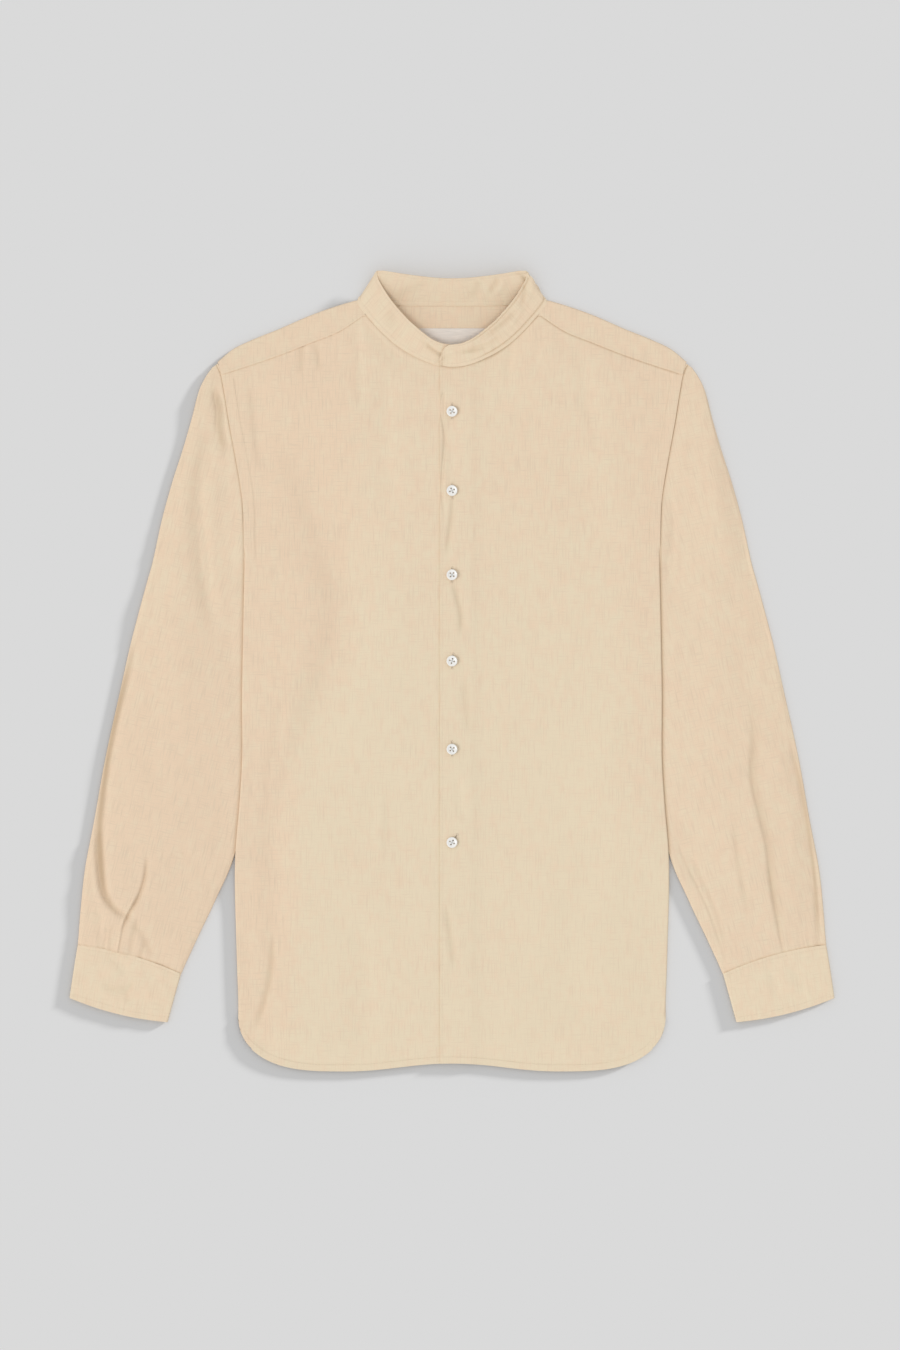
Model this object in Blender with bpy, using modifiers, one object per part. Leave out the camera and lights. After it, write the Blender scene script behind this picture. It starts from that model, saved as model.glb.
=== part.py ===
"""A long-sleeved shirt with a mandarin collar, laid flat on its back with its front up.

Sizes are in millimetres, and MM turns them into metres. X runs across the shirt towards the
wearer's left sleeve, Y runs from the hem up to the collar, and Z rises from the surface that
the shirt lies on. The origin is on that surface, at the middle of the outline.

Each piece of cloth is an open surface, given its wall by Solidify. The sleeves are flattened
tubes. Their inner edges are tucked under the body, which is lifted where it lies on them.
"""

import math
from collections import namedtuple

import bmesh
import bpy
import numpy as np
from mathutils import Vector

MM = 0.001

# Layers, counted up from the surface that the shirt lies on
WALL = 1.0                      # one layer of cloth
BAND_WALL = 1.6                 # collar band: two layers and a stiffener
CUFF_WALL = 1.4
SEAM_GAP = 0.4                  # clear space between two sewn pieces
BACK_MID = WALL / 2             # middle of the back panel's wall
ROLL = 1.15                     # radius of the fold from the back layer up to the front layer
FRONT_MID = BACK_MID + 2 * ROLL
LAP_RISE = 1.6                  # the left front lies this much above the right front
LAP_RAMP = (16.0, 34.0)         # it comes down between these distances from the centre
SLEEVE_ROLL = 0.95
CUFF_ROLL = 1.15
TUBE_CLEAR = 0.05               # the sleeves and cuffs lie this much above the back
TUCK_LIFT = 3.9                 # the body is lifted this much by a sleeve tucked under it
TUCK_RAMP = 40.0                # the lift grows over this distance
TUCK_MARGIN = 6.0               # and is whole this far before the sleeve's edge
TUCK_EARLY = 25.0               # and this far above it
TUCK_TOP = (125.0, 185.0)       # heights where the lift is whole, and where it has gone
TUCK_LOW = (-190.0, -240.0)
FRONT_LOFT = 2.0                # air between the back and the fronts
LOFT_SIDE_RUN = 45.0            # the loft fades over these distances from the panel's edges
LOFT_HEM_RUN = 30.0
LOFT_TOP_RUN = 35.0
FOLD_FADE = 0.25                # share of a fold's length over which each end fades
SIDE_ROLL_TOP = (130.0, 102.0)  # heights between which a front's side edge starts to roll
SIDE_ROLL_LOW = (-352.0, -326.0)
BACK_INSET_TOP = (150.0, 122.0)
ARMHOLE_OPEN = (114.0, 152.0)   # a sleeve's ring is shut below this and open above it
COVER_MARGIN = 3.0              # a sleeve's loft starts this far past the body's edge
COVER_RUN = 25.0
CROWN_RUN = 0.3                 # share of the sleeve's width over which its loft comes down

# Body
LAP = 12.0                      # each front passes the centre by this much
NECK_CORNER_X = 87.0            # where the yoke seam meets the neck seam
SHOULDER_NECK_X = 96.5
YOKE_BACK_Y = 270.0
HEM_WAVE_X = 105.0              # the hem is lowest at this distance from the centre
HEM_MID_Y = -391.5
HEM_LOW_Y = -399.5
TAIL_X = 213.0                  # half width where the hem's round corner starts
TAIL_Y = -348.0
TAIL_BEND = (3.2, 1.85)         # exponents of the corner's rounded curve
CORNER_Y = -372.0               # where a panel's side edge ends and its hem begins

# Buttons and label
BUTTON_RADIUS = 5.5
BUTTON_HEIGHT = 2.4
BUTTON_HOLE_RADIUS = 0.8
BUTTON_HOLE_SPACING = 3.2
LABEL_LOW = (-33.0, 317.0)
LABEL_HIGH = (35.5, 343.0)
LABEL_WALL = 0.8

Edge = namedtuple("Edge", "y x")
SIDE_EDGE = (                   # armhole seam, then the body's side, as half widths
    Edge(308.5, 235.5), Edge(297.0, 230.5), Edge(282.0, 227.5), Edge(251.0, 222.5),
    Edge(210.0, 215.0), Edge(172.0, 209.0), Edge(135.0, 207.5), Edge(60.0, 208.5),
    Edge(-30.0, 210.0), Edge(-90.0, 210.0), Edge(-131.0, 212.5), Edge(-180.0, 216.5),
    Edge(-278.0, 215.5), Edge(TAIL_Y, TAIL_X),
)
TUCK_EDGE = (                   # a sleeve's inner edge where the body covers it
    Edge(114.0, 208.0), Edge(93.0, 190.0), Edge(72.0, 166.0), Edge(-30.0, 186.0),
    Edge(-105.0, 200.0), Edge(-181.5, 216.5),
)

Spot = namedtuple("Spot", "x y")
SHOULDER_LINE = (
    Spot(96.5, 371.0), Spot(115.0, 365.5), Spot(139.0, 357.0), Spot(175.0, 341.5),
    Spot(201.0, 331.0), Spot(220.0, 321.5), Spot(235.5, 308.5),
)
NECK_SEAM = (                   # front neckline, from the centre to the shoulder
    Spot(-24.0, 309.5), Spot(0.0, 304.5), Spot(24.0, 309.5), Spot(49.0, 321.0),
    Spot(66.0, 335.0), Spot(80.0, 349.5), Spot(NECK_CORNER_X, 357.0),
)
YOKE_SEAM = (
    Spot(NECK_CORNER_X, 357.0), Spot(113.0, 340.0), Spot(139.0, 329.5), Spot(168.0, 318.0),
    Spot(195.0, 308.5), Spot(230.5, 297.0),
)

Section = namedtuple("Section", "inner_x inner_y outer_x outer_y bow fullness")
SLEEVE_SECTIONS = (             # from the shoulder down to the cuff
    Section(235.2, 306.8, 239.8, 303.2, 0.0, 0.0),
    Section(231.0, 297.5, 246.5, 294.0, 0.0, 0.0),
    Section(227.8, 282.0, 253.5, 279.0, 0.0, 0.8),
    Section(223.5, 256.0, 260.5, 252.0, 0.0, 1.6),
    Section(217.8, 224.0, 269.5, 221.0, 0.0, 2.4),
    Section(211.5, 190.0, 279.5, 190.0, 0.0, 3.0),
    Section(207.7, 152.0, 290.0, 152.0, 0.0, 3.2),
    Section(208.3, 114.0, 299.0, 111.0, 0.0, 3.2),
    Section(190.0, 93.0, 304.5, 91.0, 0.0, 3.2),
    Section(166.0, 72.0, 310.0, 71.0, 0.0, 3.2),
    Section(176.0, 20.0, 321.5, 27.0, 0.0, 3.2),
    Section(186.0, -30.0, 332.0, -20.0, 0.0, 3.2),
    Section(200.0, -105.0, 346.5, -86.0, 0.0, 3.2),
    Section(216.5, -181.5, 358.0, -150.0, 0.0, 3.0),
    Section(236.0, -228.0, 366.8, -196.0, -1.0, 2.6),
    Section(253.5, -265.0, 371.2, -236.0, -2.5, 2.0),
    Section(270.4, -301.5, 374.0, -272.5, -4.5, 1.0),
)
CUFF_SECTIONS = (
    Section(270.6, -302.0, 374.2, -273.0, -4.5, 0.6),
    Section(277.4, -326.3, 378.4, -299.0, 0.0, 0.8),
    Section(284.0, -350.3, 382.4, -326.0, 4.0, 0.3),
)

Station = namedtuple("Station", "seam_x seam_y seam_z top_x top_y top_z")
BAND_STATIONS = (               # collar band, from the centre front round to the centre back
    Station(0.0, 305.6, 3.0, 0.0, 325.0, 13.5),
    Station(12.0, 306.6, 3.0, 9.0, 326.2, 13.8),
    Station(24.0, 310.4, 3.0, 18.0, 330.0, 14.0),
    Station(37.0, 316.4, 3.0, 26.5, 335.6, 14.3),
    Station(48.0, 322.8, 3.0, 35.0, 342.4, 14.5),
    Station(57.5, 329.6, 3.0, 42.6, 349.0, 14.5),
    Station(66.0, 337.2, 3.0, 49.4, 356.2, 14.4),
    Station(73.4, 344.6, 3.0, 55.4, 363.0, 14.2),
    Station(79.6, 351.6, 3.0, 61.0, 370.0, 13.8),
    Station(85.0, 357.8, 3.0, 66.0, 377.4, 13.0),
    Station(89.8, 363.6, 3.0, 70.4, 385.0, 12.2),
    Station(93.2, 369.0, 2.8, 73.8, 392.0, 11.5),
    Station(93.6, 371.4, 2.5, 75.0, 396.6, 11.0),
    Station(92.4, 372.6, 2.2, 74.4, 398.6, 11.0),
    Station(88.0, 371.8, 1.8, 70.6, 399.2, 11.5),
    Station(78.0, 370.0, 1.5, 63.0, 398.2, 12.6),
    Station(64.0, 368.4, 1.4, 52.0, 396.2, 14.0),
    Station(46.0, 367.4, 1.4, 37.0, 393.8, 15.3),
    Station(24.0, 367.0, 1.4, 19.0, 391.6, 16.2),
    Station(0.0, 366.8, 1.4, 0.0, 390.8, 16.5),
)
BAND_LAP_RISE = 2.6             # the band's left end lies above its right end
BAND_LAP_RUN = 60.0
BAND_LAP_TOP_Y = 340.0          # above this the seam belongs to the back of the band
Lap = namedtuple("Lap", "past_centre height")
BAND_END = (                    # the rounded end of the band, as a share of its height
    Lap(4.0, 0.96), Lap(8.0, 0.78), Lap(10.5, 0.55), Lap(LAP, 0.25),
)

Fold = namedtuple("Fold", "piece x0 y0 x1 y1 width depth")
FOLDS = (
    Fold("front_right", -197, 250, -150, 70, 26, 1.6),
    Fold("front_right", -150, 70, -180, -280, 24, 1.4),
    Fold("front_left", 120, 240, 150, -60, 30, 0.7),
    Fold("sleeve_right", -240, 270, -262, 60, 12, 2.0),
    Fold("sleeve_right", -349, -88, -353, -215, 6, 1.6),
    Fold("sleeve_right", -305, -190, -333, -272, 7, 1.6),
    Fold("sleeve_left", 297, -50, 333, -272, 7, 1.6),
    Fold("sleeve_left", 351, -120, 366, -268, 6, 1.2),
)

Button = namedtuple("Button", "y turn")
BUTTONS = (
    Button(259.5, 12), Button(180.5, -20), Button(96.5, 5),
    Button(10.5, 30), Button(-77.5, -8), Button(-170.5, 18),
)

# Grids: how finely each piece is cut
PANEL_COLUMNS = (-LAP, 2, 16, 34, 52, 68, 80, NECK_CORNER_X, 108, 132, 156, 181, 206, 230.5)
PANEL_ROWS = 22
ROLL_STEPS = 3
BACK_SHARES = (0, 0.22, 0.42, 0.58, 0.7, 0.8, 0.9, 1)
BACK_ROWS = 20
YOKE_OUTER_COLUMNS = (SHOULDER_NECK_X, 120, 148, 177, 206, 234.6)
YOKE_NECK_COLUMNS = (0, 32, 64)
YOKE_ROWS = 4
STRIP_ROWS = 2
TUBE_TOP_SHARES = (0, 0.12, 0.25, 0.38, 0.5, 0.62, 0.74, 0.87, 1)
TUBE_BOTTOM_SHARES = (1, 0.75, 0.5, 0.25, 0)
BAND_ROWS = 4

LINEN = (0.776, 0.631, 0.468)
LINEN_SHADE = (0.745, 0.604, 0.444)
BUTTON_WHITE = (0.87, 0.86, 0.83)
LABEL_GREY = (0.69, 0.62, 0.56)


def ramp(value, start, end):
    """Ease from 0 to 1 as the value goes from start to end."""
    share = min(1.0, max(0.0, (value - start) / (end - start)))
    return share * share * (3 - 2 * share)


def blend(start, end, share):
    return start + (end - start) * share


def smooth_lookup(keys, values, at):
    """Value at a key, on the smooth curve through a table whose keys rise."""
    keys = np.asarray(keys, float)
    values = np.asarray(values, float)
    slopes = np.gradient(values, keys)
    i = int(np.clip(np.searchsorted(keys, at) - 1, 0, len(keys) - 2))
    span = keys[i + 1] - keys[i]
    t = (at - keys[i]) / span
    rise = t * t * (3 - 2 * t)
    bend = t * (1 - t) * ((1 - t) * slopes[i] - t * slopes[i + 1]) * span
    return float(values[i] + (values[i + 1] - values[i]) * rise + bend)


def from_table(table, key, value, at):
    """Look up one named column of a table by another."""
    rows = sorted(table, key=lambda row: getattr(row, key))
    keys = [getattr(row, key) for row in rows]
    values = [getattr(row, value) for row in rows]
    return smooth_lookup(keys, values, min(max(at, keys[0]), keys[-1]))


def side_x(y):
    """Half width of the body at a height: armhole, side, then the hem's round corner."""
    if y >= TAIL_Y:
        return from_table(SIDE_EDGE, "y", "x", y)
    across, down = TAIL_BEND
    drop = (TAIL_Y - y) / (TAIL_Y - HEM_LOW_Y)
    return HEM_WAVE_X + (TAIL_X - HEM_WAVE_X) * (1 - drop ** down) ** (1 / across)


def hem_y(x):
    """Height of the hem: a shallow wave in the middle and a rounded corner at each side."""
    x = abs(x)
    if x <= HEM_WAVE_X:
        middle = (HEM_MID_Y + HEM_LOW_Y) / 2
        return middle + (HEM_MID_Y - middle) * math.cos(math.pi * x / HEM_WAVE_X)
    across, down = TAIL_BEND
    share = min(1.0, (x - HEM_WAVE_X) / (TAIL_X - HEM_WAVE_X))
    return TAIL_Y - (TAIL_Y - HEM_LOW_Y) * (1 - share ** across) ** (1 / down)


def panel_top_y(x):
    """Top edge of a front panel: the neck seam, then the yoke seam."""
    table = NECK_SEAM if x <= NECK_CORNER_X else YOKE_SEAM
    return from_table(table, "x", "y", x)


def tuck_lift(x, y):
    """How far the body is lifted by the sleeve tucked under its side."""
    edge = min(from_table(TUCK_EDGE, "y", "x", y), from_table(TUCK_EDGE, "y", "x", y - TUCK_EARLY))
    across = ramp(abs(x), edge - TUCK_MARGIN - TUCK_RAMP, edge - TUCK_MARGIN)
    above = ramp(y, TUCK_TOP[1], TUCK_TOP[0])
    below = ramp(y, TUCK_LOW[1], TUCK_LOW[0])
    return TUCK_LIFT * across * above * below


def fold_depth(piece, x, y):
    """Depth of the piece's soft troughs at a point."""
    depth = 0.0
    for fold in FOLDS:
        if fold.piece != piece:
            continue
        start = Vector((fold.x0, fold.y0))
        run = Vector((fold.x1, fold.y1)) - start
        offset = Vector((x, y)) - start
        along = offset.dot(run) / run.length_squared
        aside = (offset - run * along).length
        fade = ramp(along, 0, FOLD_FADE) * ramp(along, 1, 1 - FOLD_FADE)
        depth += fold.depth * fade * math.exp(-(aside / fold.width) ** 2)
    return depth


def front_level(piece, x, y):
    """Middle of a front panel's wall. The left front is raised where it laps over the right."""
    side = ramp(side_x(y) - abs(x), 0, LOFT_SIDE_RUN)
    hem = ramp(y - hem_y(x), 0, LOFT_HEM_RUN)
    top = ramp(panel_top_y(abs(x)) - y, 0, LOFT_TOP_RUN)
    loft = FRONT_LOFT * side * hem * top - fold_depth(piece, x, y)
    lap = LAP_RISE * ramp(x, LAP_RAMP[1], LAP_RAMP[0]) if piece == "front_left" else 0
    return FRONT_MID + tuck_lift(x, y) + max(0.0, loft) + lap


def rolled(radius, share, roll):
    """Point on an edge that rolls through a half turn, or lies straight where roll is 0.

    Returns the distance outward and the drop, at a share of the edge's length.
    """
    length = math.pi * radius
    if roll < 0.02:
        return length * share, 0.0
    bend = radius / roll
    angle = math.pi * roll * share
    return bend * math.sin(angle), bend * (1 - math.cos(angle))


def roll_reach(radius, roll, wall, turns=1.0):
    """How far out a rolled edge stands past the line where it starts to roll."""
    share = min(turns, 0.5 / max(roll, 0.5))
    return rolled(radius, share, roll)[0] + wall / 2 * roll


def cloth_grid(columns, rows, place):
    """A grid of cloth, each crossing placed by its column and row numbers."""
    grid = bmesh.new()
    bmesh.ops.create_grid(grid, x_segments=columns, y_segments=rows, size=0.5)
    for vertex in grid.verts:
        column = round((vertex.co.x + 0.5) * columns)
        row = round((vertex.co.y + 0.5) * rows)
        vertex.co = Vector(place(column, row)) * MM
    return grid


def coons(top, bottom, left, right, across, down):
    """Point inside four edges, from the points at its share across and down."""
    start, end = top(0), top(1)
    low_start, low_end = bottom(0), bottom(1)
    edges = (top(across) * (1 - down) + bottom(across) * down
             + left(down) * (1 - across) + right(down) * across)
    corners = (start * (1 - across) * (1 - down) + end * across * (1 - down)
               + low_start * (1 - across) * down + low_end * across * down)
    return edges - corners


def finish(name, colour, roughness):
    material = bpy.data.materials.new(name)
    material.use_nodes = True
    shader = material.node_tree.nodes["Principled BSDF"]
    shader.inputs["Base Color"].default_value = (*colour, 1)
    shader.inputs["Roughness"].default_value = roughness
    shader.inputs["Metallic"].default_value = 0
    return material


def collection(name):
    made = bpy.data.collections.new(name)
    bpy.context.scene.collection.children.link(made)
    return made


def add_object(name, mesh, group, material=None):
    made = bpy.data.objects.new(name, mesh)
    group.objects.link(made)
    if material and not mesh.materials:
        mesh.materials.append(material)
    return made


def add_cloth(name, grid, wall, group, material):
    """Turn a grid into an object whose wall is centred on it."""
    mesh = bpy.data.meshes.new(name)
    grid.to_mesh(mesh)
    grid.free()
    mesh.shade_smooth()
    cloth = add_object(name, mesh, group, material)
    solidify = cloth.modifiers.new("wall", "SOLIDIFY")
    solidify.thickness = wall * MM
    solidify.offset = 0
    solidify.use_even_offset = True
    return cloth


def side_roll(y):
    """1 where a front's side edge rolls down to the back panel, 0 where the edge is free."""
    return ramp(y, *SIDE_ROLL_TOP) * ramp(y, *SIDE_ROLL_LOW)


def front_panel(name, side):
    """Grid of a front panel, on the side of X given by its sign."""
    first, last = PANEL_COLUMNS[0], PANEL_COLUMNS[-1]
    hem_end = side_x(CORNER_Y) - SEAM_GAP - math.pi * ROLL
    side_low = hem_y(hem_end)
    top_end = side_x(YOKE_SEAM[-1].y) - SEAM_GAP - math.pi * ROLL
    flat_columns = len(PANEL_COLUMNS) - 1

    def side_point(down):
        y = blend(YOKE_SEAM[-1].y - SEAM_GAP, side_low, down)
        roll = side_roll(y)
        reach = roll_reach(ROLL, roll, WALL) + 1.5 * SEAM_GAP * (1 - roll)
        return Vector((side_x(max(y, CORNER_Y)) - reach, y))

    def top_point(across):
        x = blend(first, last, across)
        x = min(x, NECK_CORNER_X) + max(0, x - NECK_CORNER_X) * (
            (top_end - NECK_CORNER_X) / (last - NECK_CORNER_X))
        return Vector((x, panel_top_y(x) - 1.5 * SEAM_GAP))

    def hem_point(across):
        x = blend(first, last, across)
        x = min(x, NECK_CORNER_X) + max(0, x - NECK_CORNER_X) * (
            (hem_end - NECK_CORNER_X) / (last - NECK_CORNER_X))
        return Vector((x, hem_y(x)))

    def centre_point(down):
        return Vector((first, blend(top_point(0).y, hem_point(0).y, down)))

    def place(column, row):
        down = row / PANEL_ROWS
        across = (PANEL_COLUMNS[min(column, flat_columns)] - first) / (last - first)
        spot = coons(top_point, hem_point, centre_point, side_point, across, down)
        z = front_level(name, side * spot.x, spot.y)
        if column > flat_columns:
            out, drop = rolled(ROLL, (column - flat_columns) / ROLL_STEPS, side_roll(spot.y))
            spot.x += out
            spot.y = max(spot.y, hem_y(spot.x))
            z -= drop
        return side * spot.x, spot.y, z

    return cloth_grid(flat_columns + ROLL_STEPS, PANEL_ROWS, place)


def back_panel():
    """Grid of the back panel, from the yoke's back seam to the hem."""
    shares = [-share for share in reversed(BACK_SHARES[1:])] + list(BACK_SHARES)

    def half_width(y):
        behind_roll = ramp(y, *BACK_INSET_TOP)
        return side_x(y) - SEAM_GAP - behind_roll * (ROLL + WALL / 2 + SEAM_GAP)

    def place(column, row):
        down = row / BACK_ROWS
        side_y = blend(YOKE_BACK_Y - SEAM_GAP, CORNER_Y, down)
        x = shares[column] * half_width(side_y)
        low = hem_y(shares[column] * half_width(CORNER_Y)) + 2
        y = blend(YOKE_BACK_Y - SEAM_GAP, low, down)
        return x, y, BACK_MID + tuck_lift(x, y)

    return cloth_grid(len(shares) - 1, BACK_ROWS, place)


def back_neck_y(x):
    back_half = BAND_STATIONS[-7:]
    return from_table(back_half, "seam_x", "seam_y", abs(x)) - BAND_WALL / 2 - SEAM_GAP


def shoulder_fold(x):
    """Where the yoke starts to roll over at the shoulder, and the way out from there."""
    slope = (from_table(SHOULDER_LINE, "x", "y", x + 1)
             - from_table(SHOULDER_LINE, "x", "y", x - 1)) / 2
    outward = Vector((-slope, 1)).normalized()
    edge = Vector((x, from_table(SHOULDER_LINE, "x", "y", x)))
    return edge - outward * (ROLL + WALL / 2), outward


def yoke():
    """Grid of the yoke: its back part, then a strip over each shoulder to the front."""
    inner = list(YOKE_NECK_COLUMNS)
    half = inner + list(YOKE_OUTER_COLUMNS)
    columns = [-x for x in reversed(half[1:])] + half
    outer_x = side_x(YOKE_BACK_Y) - SEAM_GAP

    def place_back(column, row):
        x = columns[column]
        low = Vector((x * outer_x / half[-1], YOKE_BACK_Y))
        if abs(x) < SHOULDER_NECK_X:
            high = Vector((x, back_neck_y(x)))
        else:
            fold, _ = shoulder_fold(abs(x))
            high = Vector((math.copysign(fold.x, x), fold.y))
        spot = low.lerp(high, row / YOKE_ROWS)
        side = side_x(spot.y) - SEAM_GAP
        spot.x = max(-side, min(side, spot.x))
        return spot.x, spot.y, BACK_MID

    whole = cloth_grid(len(columns) - 1, YOKE_ROWS, place_back)
    roll_rows = 2 * ROLL_STEPS
    seam_end = YOKE_SEAM[-1].x - SEAM_GAP

    for side in (1, -1):
        def place_strip(column, row):
            x = YOKE_OUTER_COLUMNS[column]
            share = (x - SHOULDER_NECK_X) / (half[-1] - SHOULDER_NECK_X)
            fold, outward = shoulder_fold(x)
            out, rise = rolled(ROLL, min(1, row / roll_rows), 1)
            spot = fold + outward * out
            if row > roll_rows:
                seam_x = blend(NECK_CORNER_X + 2, seam_end, share)
                seam = Vector((seam_x, panel_top_y(seam_x)))
                spot = fold.lerp(seam, (row - roll_rows) / STRIP_ROWS)
            return side * spot.x, spot.y, BACK_MID + rise

        strip = cloth_grid(len(YOKE_OUTER_COLUMNS) - 1, roll_rows + STRIP_ROWS, place_strip)
        mesh = bpy.data.meshes.new("strip")
        strip.to_mesh(mesh)
        strip.free()
        whole.from_mesh(mesh)
        bpy.data.meshes.remove(mesh)

    bmesh.ops.remove_doubles(whole, verts=whole.verts, dist=0.0001)
    bmesh.ops.recalc_face_normals(whole, faces=whole.faces)
    return whole


def flat_tube(sections, wall, fold_radius, top_level, open_end):
    """Grid of a flattened tube lying on the surface, its ring closed where it isn't open.

    top_level gives the top wall's height at a section and a point, and open_end says how far
    the ring's inner edge is still open, from 0 to 1, at a section.
    """
    low = wall / 2 + TUBE_CLEAR
    quarter = 2
    top_steps = len(TUBE_TOP_SHARES) - 1
    bottom_steps = len(TUBE_BOTTOM_SHARES) - 1
    half_turn = 2 * ROLL_STEPS
    turn_start = quarter + top_steps
    turn_end = turn_start + half_turn
    bottom_end = turn_end + bottom_steps
    steps = bottom_end + quarter

    def on_section(section, distance):
        inner = Vector((section.inner_x, section.inner_y))
        outer = Vector((section.outer_x, section.outer_y))
        run = outer - inner
        share = distance / run.length
        down = Vector((run.y, -run.x)).normalized()
        return inner + run * share + down * (section.bow * 4 * share * (1 - share))

    def place(column, row):
        section = sections[row]
        width = math.dist((section.inner_x, section.inner_y), (section.outer_x, section.outer_y))
        shut = 1 - open_end(section)
        start = roll_reach(fold_radius, shut, wall, 0.5) + 1.5 * SEAM_GAP * (1 - shut)
        end = width - fold_radius - wall / 2
        high = low + 2 * fold_radius
        if column <= quarter:
            out, drop = rolled(fold_radius, (quarter - column) / quarter / 2, shut)
            distance, z = start - out, high - drop
        elif column <= turn_start:
            distance = blend(start, end, TUBE_TOP_SHARES[column - quarter])
            z = high
        elif column <= turn_end:
            out, drop = rolled(fold_radius, (column - turn_start) / half_turn, 1)
            distance, z = end + out, high - drop
        elif column <= bottom_end:
            distance = blend(start, end, TUBE_BOTTOM_SHARES[column - turn_end])
            z = low
        else:
            out, drop = rolled(fold_radius, (column - bottom_end) / quarter / 2, shut)
            distance, z = start - out, low + drop
        spot = on_section(section, distance)
        if quarter < column < turn_start:
            z = top_level(section, spot, distance / width, high)
        return spot.x, spot.y, z

    tube = cloth_grid(steps, len(sections) - 1, place)
    bmesh.ops.remove_doubles(tube, verts=tube.verts, dist=0.00001)
    bmesh.ops.recalc_face_normals(tube, faces=tube.faces)
    return tube


def mirrored(grid, side):
    """The grid on the side of X given by its sign."""
    for vertex in grid.verts:
        vertex.co.x *= side
    return grid


def sleeve(name, side):
    def open_end(section):
        return ramp(section.inner_y, *ARMHOLE_OPEN)

    def top_level(section, spot, share, high):
        covered_to = side_x(max(spot.y, TAIL_Y)) if spot.y > TUCK_EDGE[-1].y else section.inner_x
        clear = ramp(spot.x - covered_to, COVER_MARGIN, COVER_MARGIN + COVER_RUN)
        crown = section.fullness * clear * ramp(share, 1, 1 - CROWN_RUN)
        return high + max(0.0, crown - clear * fold_depth(name, side * spot.x, spot.y))

    return mirrored(flat_tube(SLEEVE_SECTIONS, WALL, SLEEVE_ROLL, top_level, open_end), side)


def cuff(side):
    def top_level(section, spot, share, high):
        return high + section.fullness * 4 * share * (1 - share)

    tube = flat_tube(CUFF_SECTIONS, CUFF_WALL, CUFF_ROLL, top_level, lambda section: 0)
    return mirrored(tube, side)


def collar_band():
    """Grid of the band: from its right end under the lap, round the back, to its left end."""
    ends = [(lap.past_centre, lap.height) for lap in BAND_END]
    right_end = [(station_at_lap(past), share, -1) for past, share in reversed(ends)]
    left_end = [(station_at_lap(past), share, 1) for past, share in ends]
    round_right = [(station, 1, -1) for station in BAND_STATIONS]
    round_left = [(station, 1, 1) for station in reversed(BAND_STATIONS[:-1])]
    ring = right_end + round_right + round_left + left_end

    def place(column, row):
        station, height, side = ring[column]
        share = row / BAND_ROWS * height
        seam = Vector((side * station.seam_x, station.seam_y, station.seam_z))
        top = Vector((side * station.top_x, station.top_y, station.top_z))
        rise = 0
        if side > 0:
            rise = BAND_LAP_RISE * ramp(station.seam_x, BAND_LAP_RUN, LAP)
            rise *= station.seam_y < BAND_LAP_TOP_Y
        return seam.lerp(top, share) + Vector((0, 0, rise))

    return cloth_grid(len(ring) - 1, BAND_ROWS, place)


def station_at_lap(past):
    """The band's cross-section where an end runs past the centre front."""
    centre, beyond = BAND_STATIONS[0], BAND_STATIONS[1]
    share = past / beyond.seam_x
    seam_y = blend(centre.seam_y, beyond.seam_y, share * share)
    top_y = blend(centre.top_y, beyond.top_y, share * share)
    return Station(-past, seam_y, centre.seam_z, -past, top_y, centre.top_z)


def button_mesh(cutters):
    """A turned button with a raised rim and four holes."""
    profile = (
        (0, 0.75), (0.62, 0.75), (0.76, 1), (0.9, 1), (1, 0.7), (1, 0.35), (0.82, 0), (0, 0),
    )
    turned = bmesh.new()
    points = [turned.verts.new((r * BUTTON_RADIUS * MM, 0, z * BUTTON_HEIGHT * MM))
              for r, z in profile]
    for start, end in zip(points, points[1:]):
        turned.edges.new((start, end))
    mesh = bpy.data.meshes.new("button_profile")
    turned.to_mesh(mesh)
    turned.free()
    blank = add_object("button_blank", mesh, cutters)
    screw = blank.modifiers.new("turn", "SCREW")
    screw.steps = screw.render_steps = 24
    screw.use_merge_vertices = True
    screw.merge_threshold = 0.00001
    holes = bmesh.new()
    for side_x_sign in (-1, 1):
        for side_y_sign in (-1, 1):
            made = bmesh.ops.create_cone(
                holes, cap_ends=True, segments=8, radius1=BUTTON_HOLE_RADIUS * MM,
                radius2=BUTTON_HOLE_RADIUS * MM, depth=4 * BUTTON_HEIGHT * MM)
            shift = Vector((side_x_sign, side_y_sign, 0)) * BUTTON_HOLE_SPACING / 2 * MM
            bmesh.ops.translate(holes, verts=made["verts"], vec=shift)
    hole_mesh = bpy.data.meshes.new("button_holes")
    holes.to_mesh(hole_mesh)
    holes.free()
    cutter = add_object("button_holes", hole_mesh, cutters)
    cut = blank.modifiers.new("holes", "BOOLEAN")
    cut.operation = "DIFFERENCE"
    cut.object = cutter
    for helper in (blank, cutter):
        helper.hide_render = True
        helper.display_type = "WIRE"
    graph = bpy.context.evaluated_depsgraph_get()
    drilled = bpy.data.meshes.new_from_object(blank.evaluated_get(graph))
    drilled.name = "button"
    drilled.set_sharp_from_angle(angle=math.radians(35))
    return drilled


def label_mesh():
    label = bmesh.new()
    bmesh.ops.create_cube(label, size=1)
    size = Vector((LABEL_HIGH[0] - LABEL_LOW[0], LABEL_HIGH[1] - LABEL_LOW[1], LABEL_WALL))
    middle = Vector((LABEL_HIGH[0] + LABEL_LOW[0], LABEL_HIGH[1] + LABEL_LOW[1], 0)) / 2
    middle.z = BACK_MID + WALL / 2 + SEAM_GAP + LABEL_WALL / 2
    bmesh.ops.scale(label, vec=size * MM, verts=label.verts)
    bmesh.ops.translate(label, vec=middle * MM, verts=label.verts)
    mesh = bpy.data.meshes.new("neck_label")
    label.to_mesh(mesh)
    label.free()
    return mesh


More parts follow.
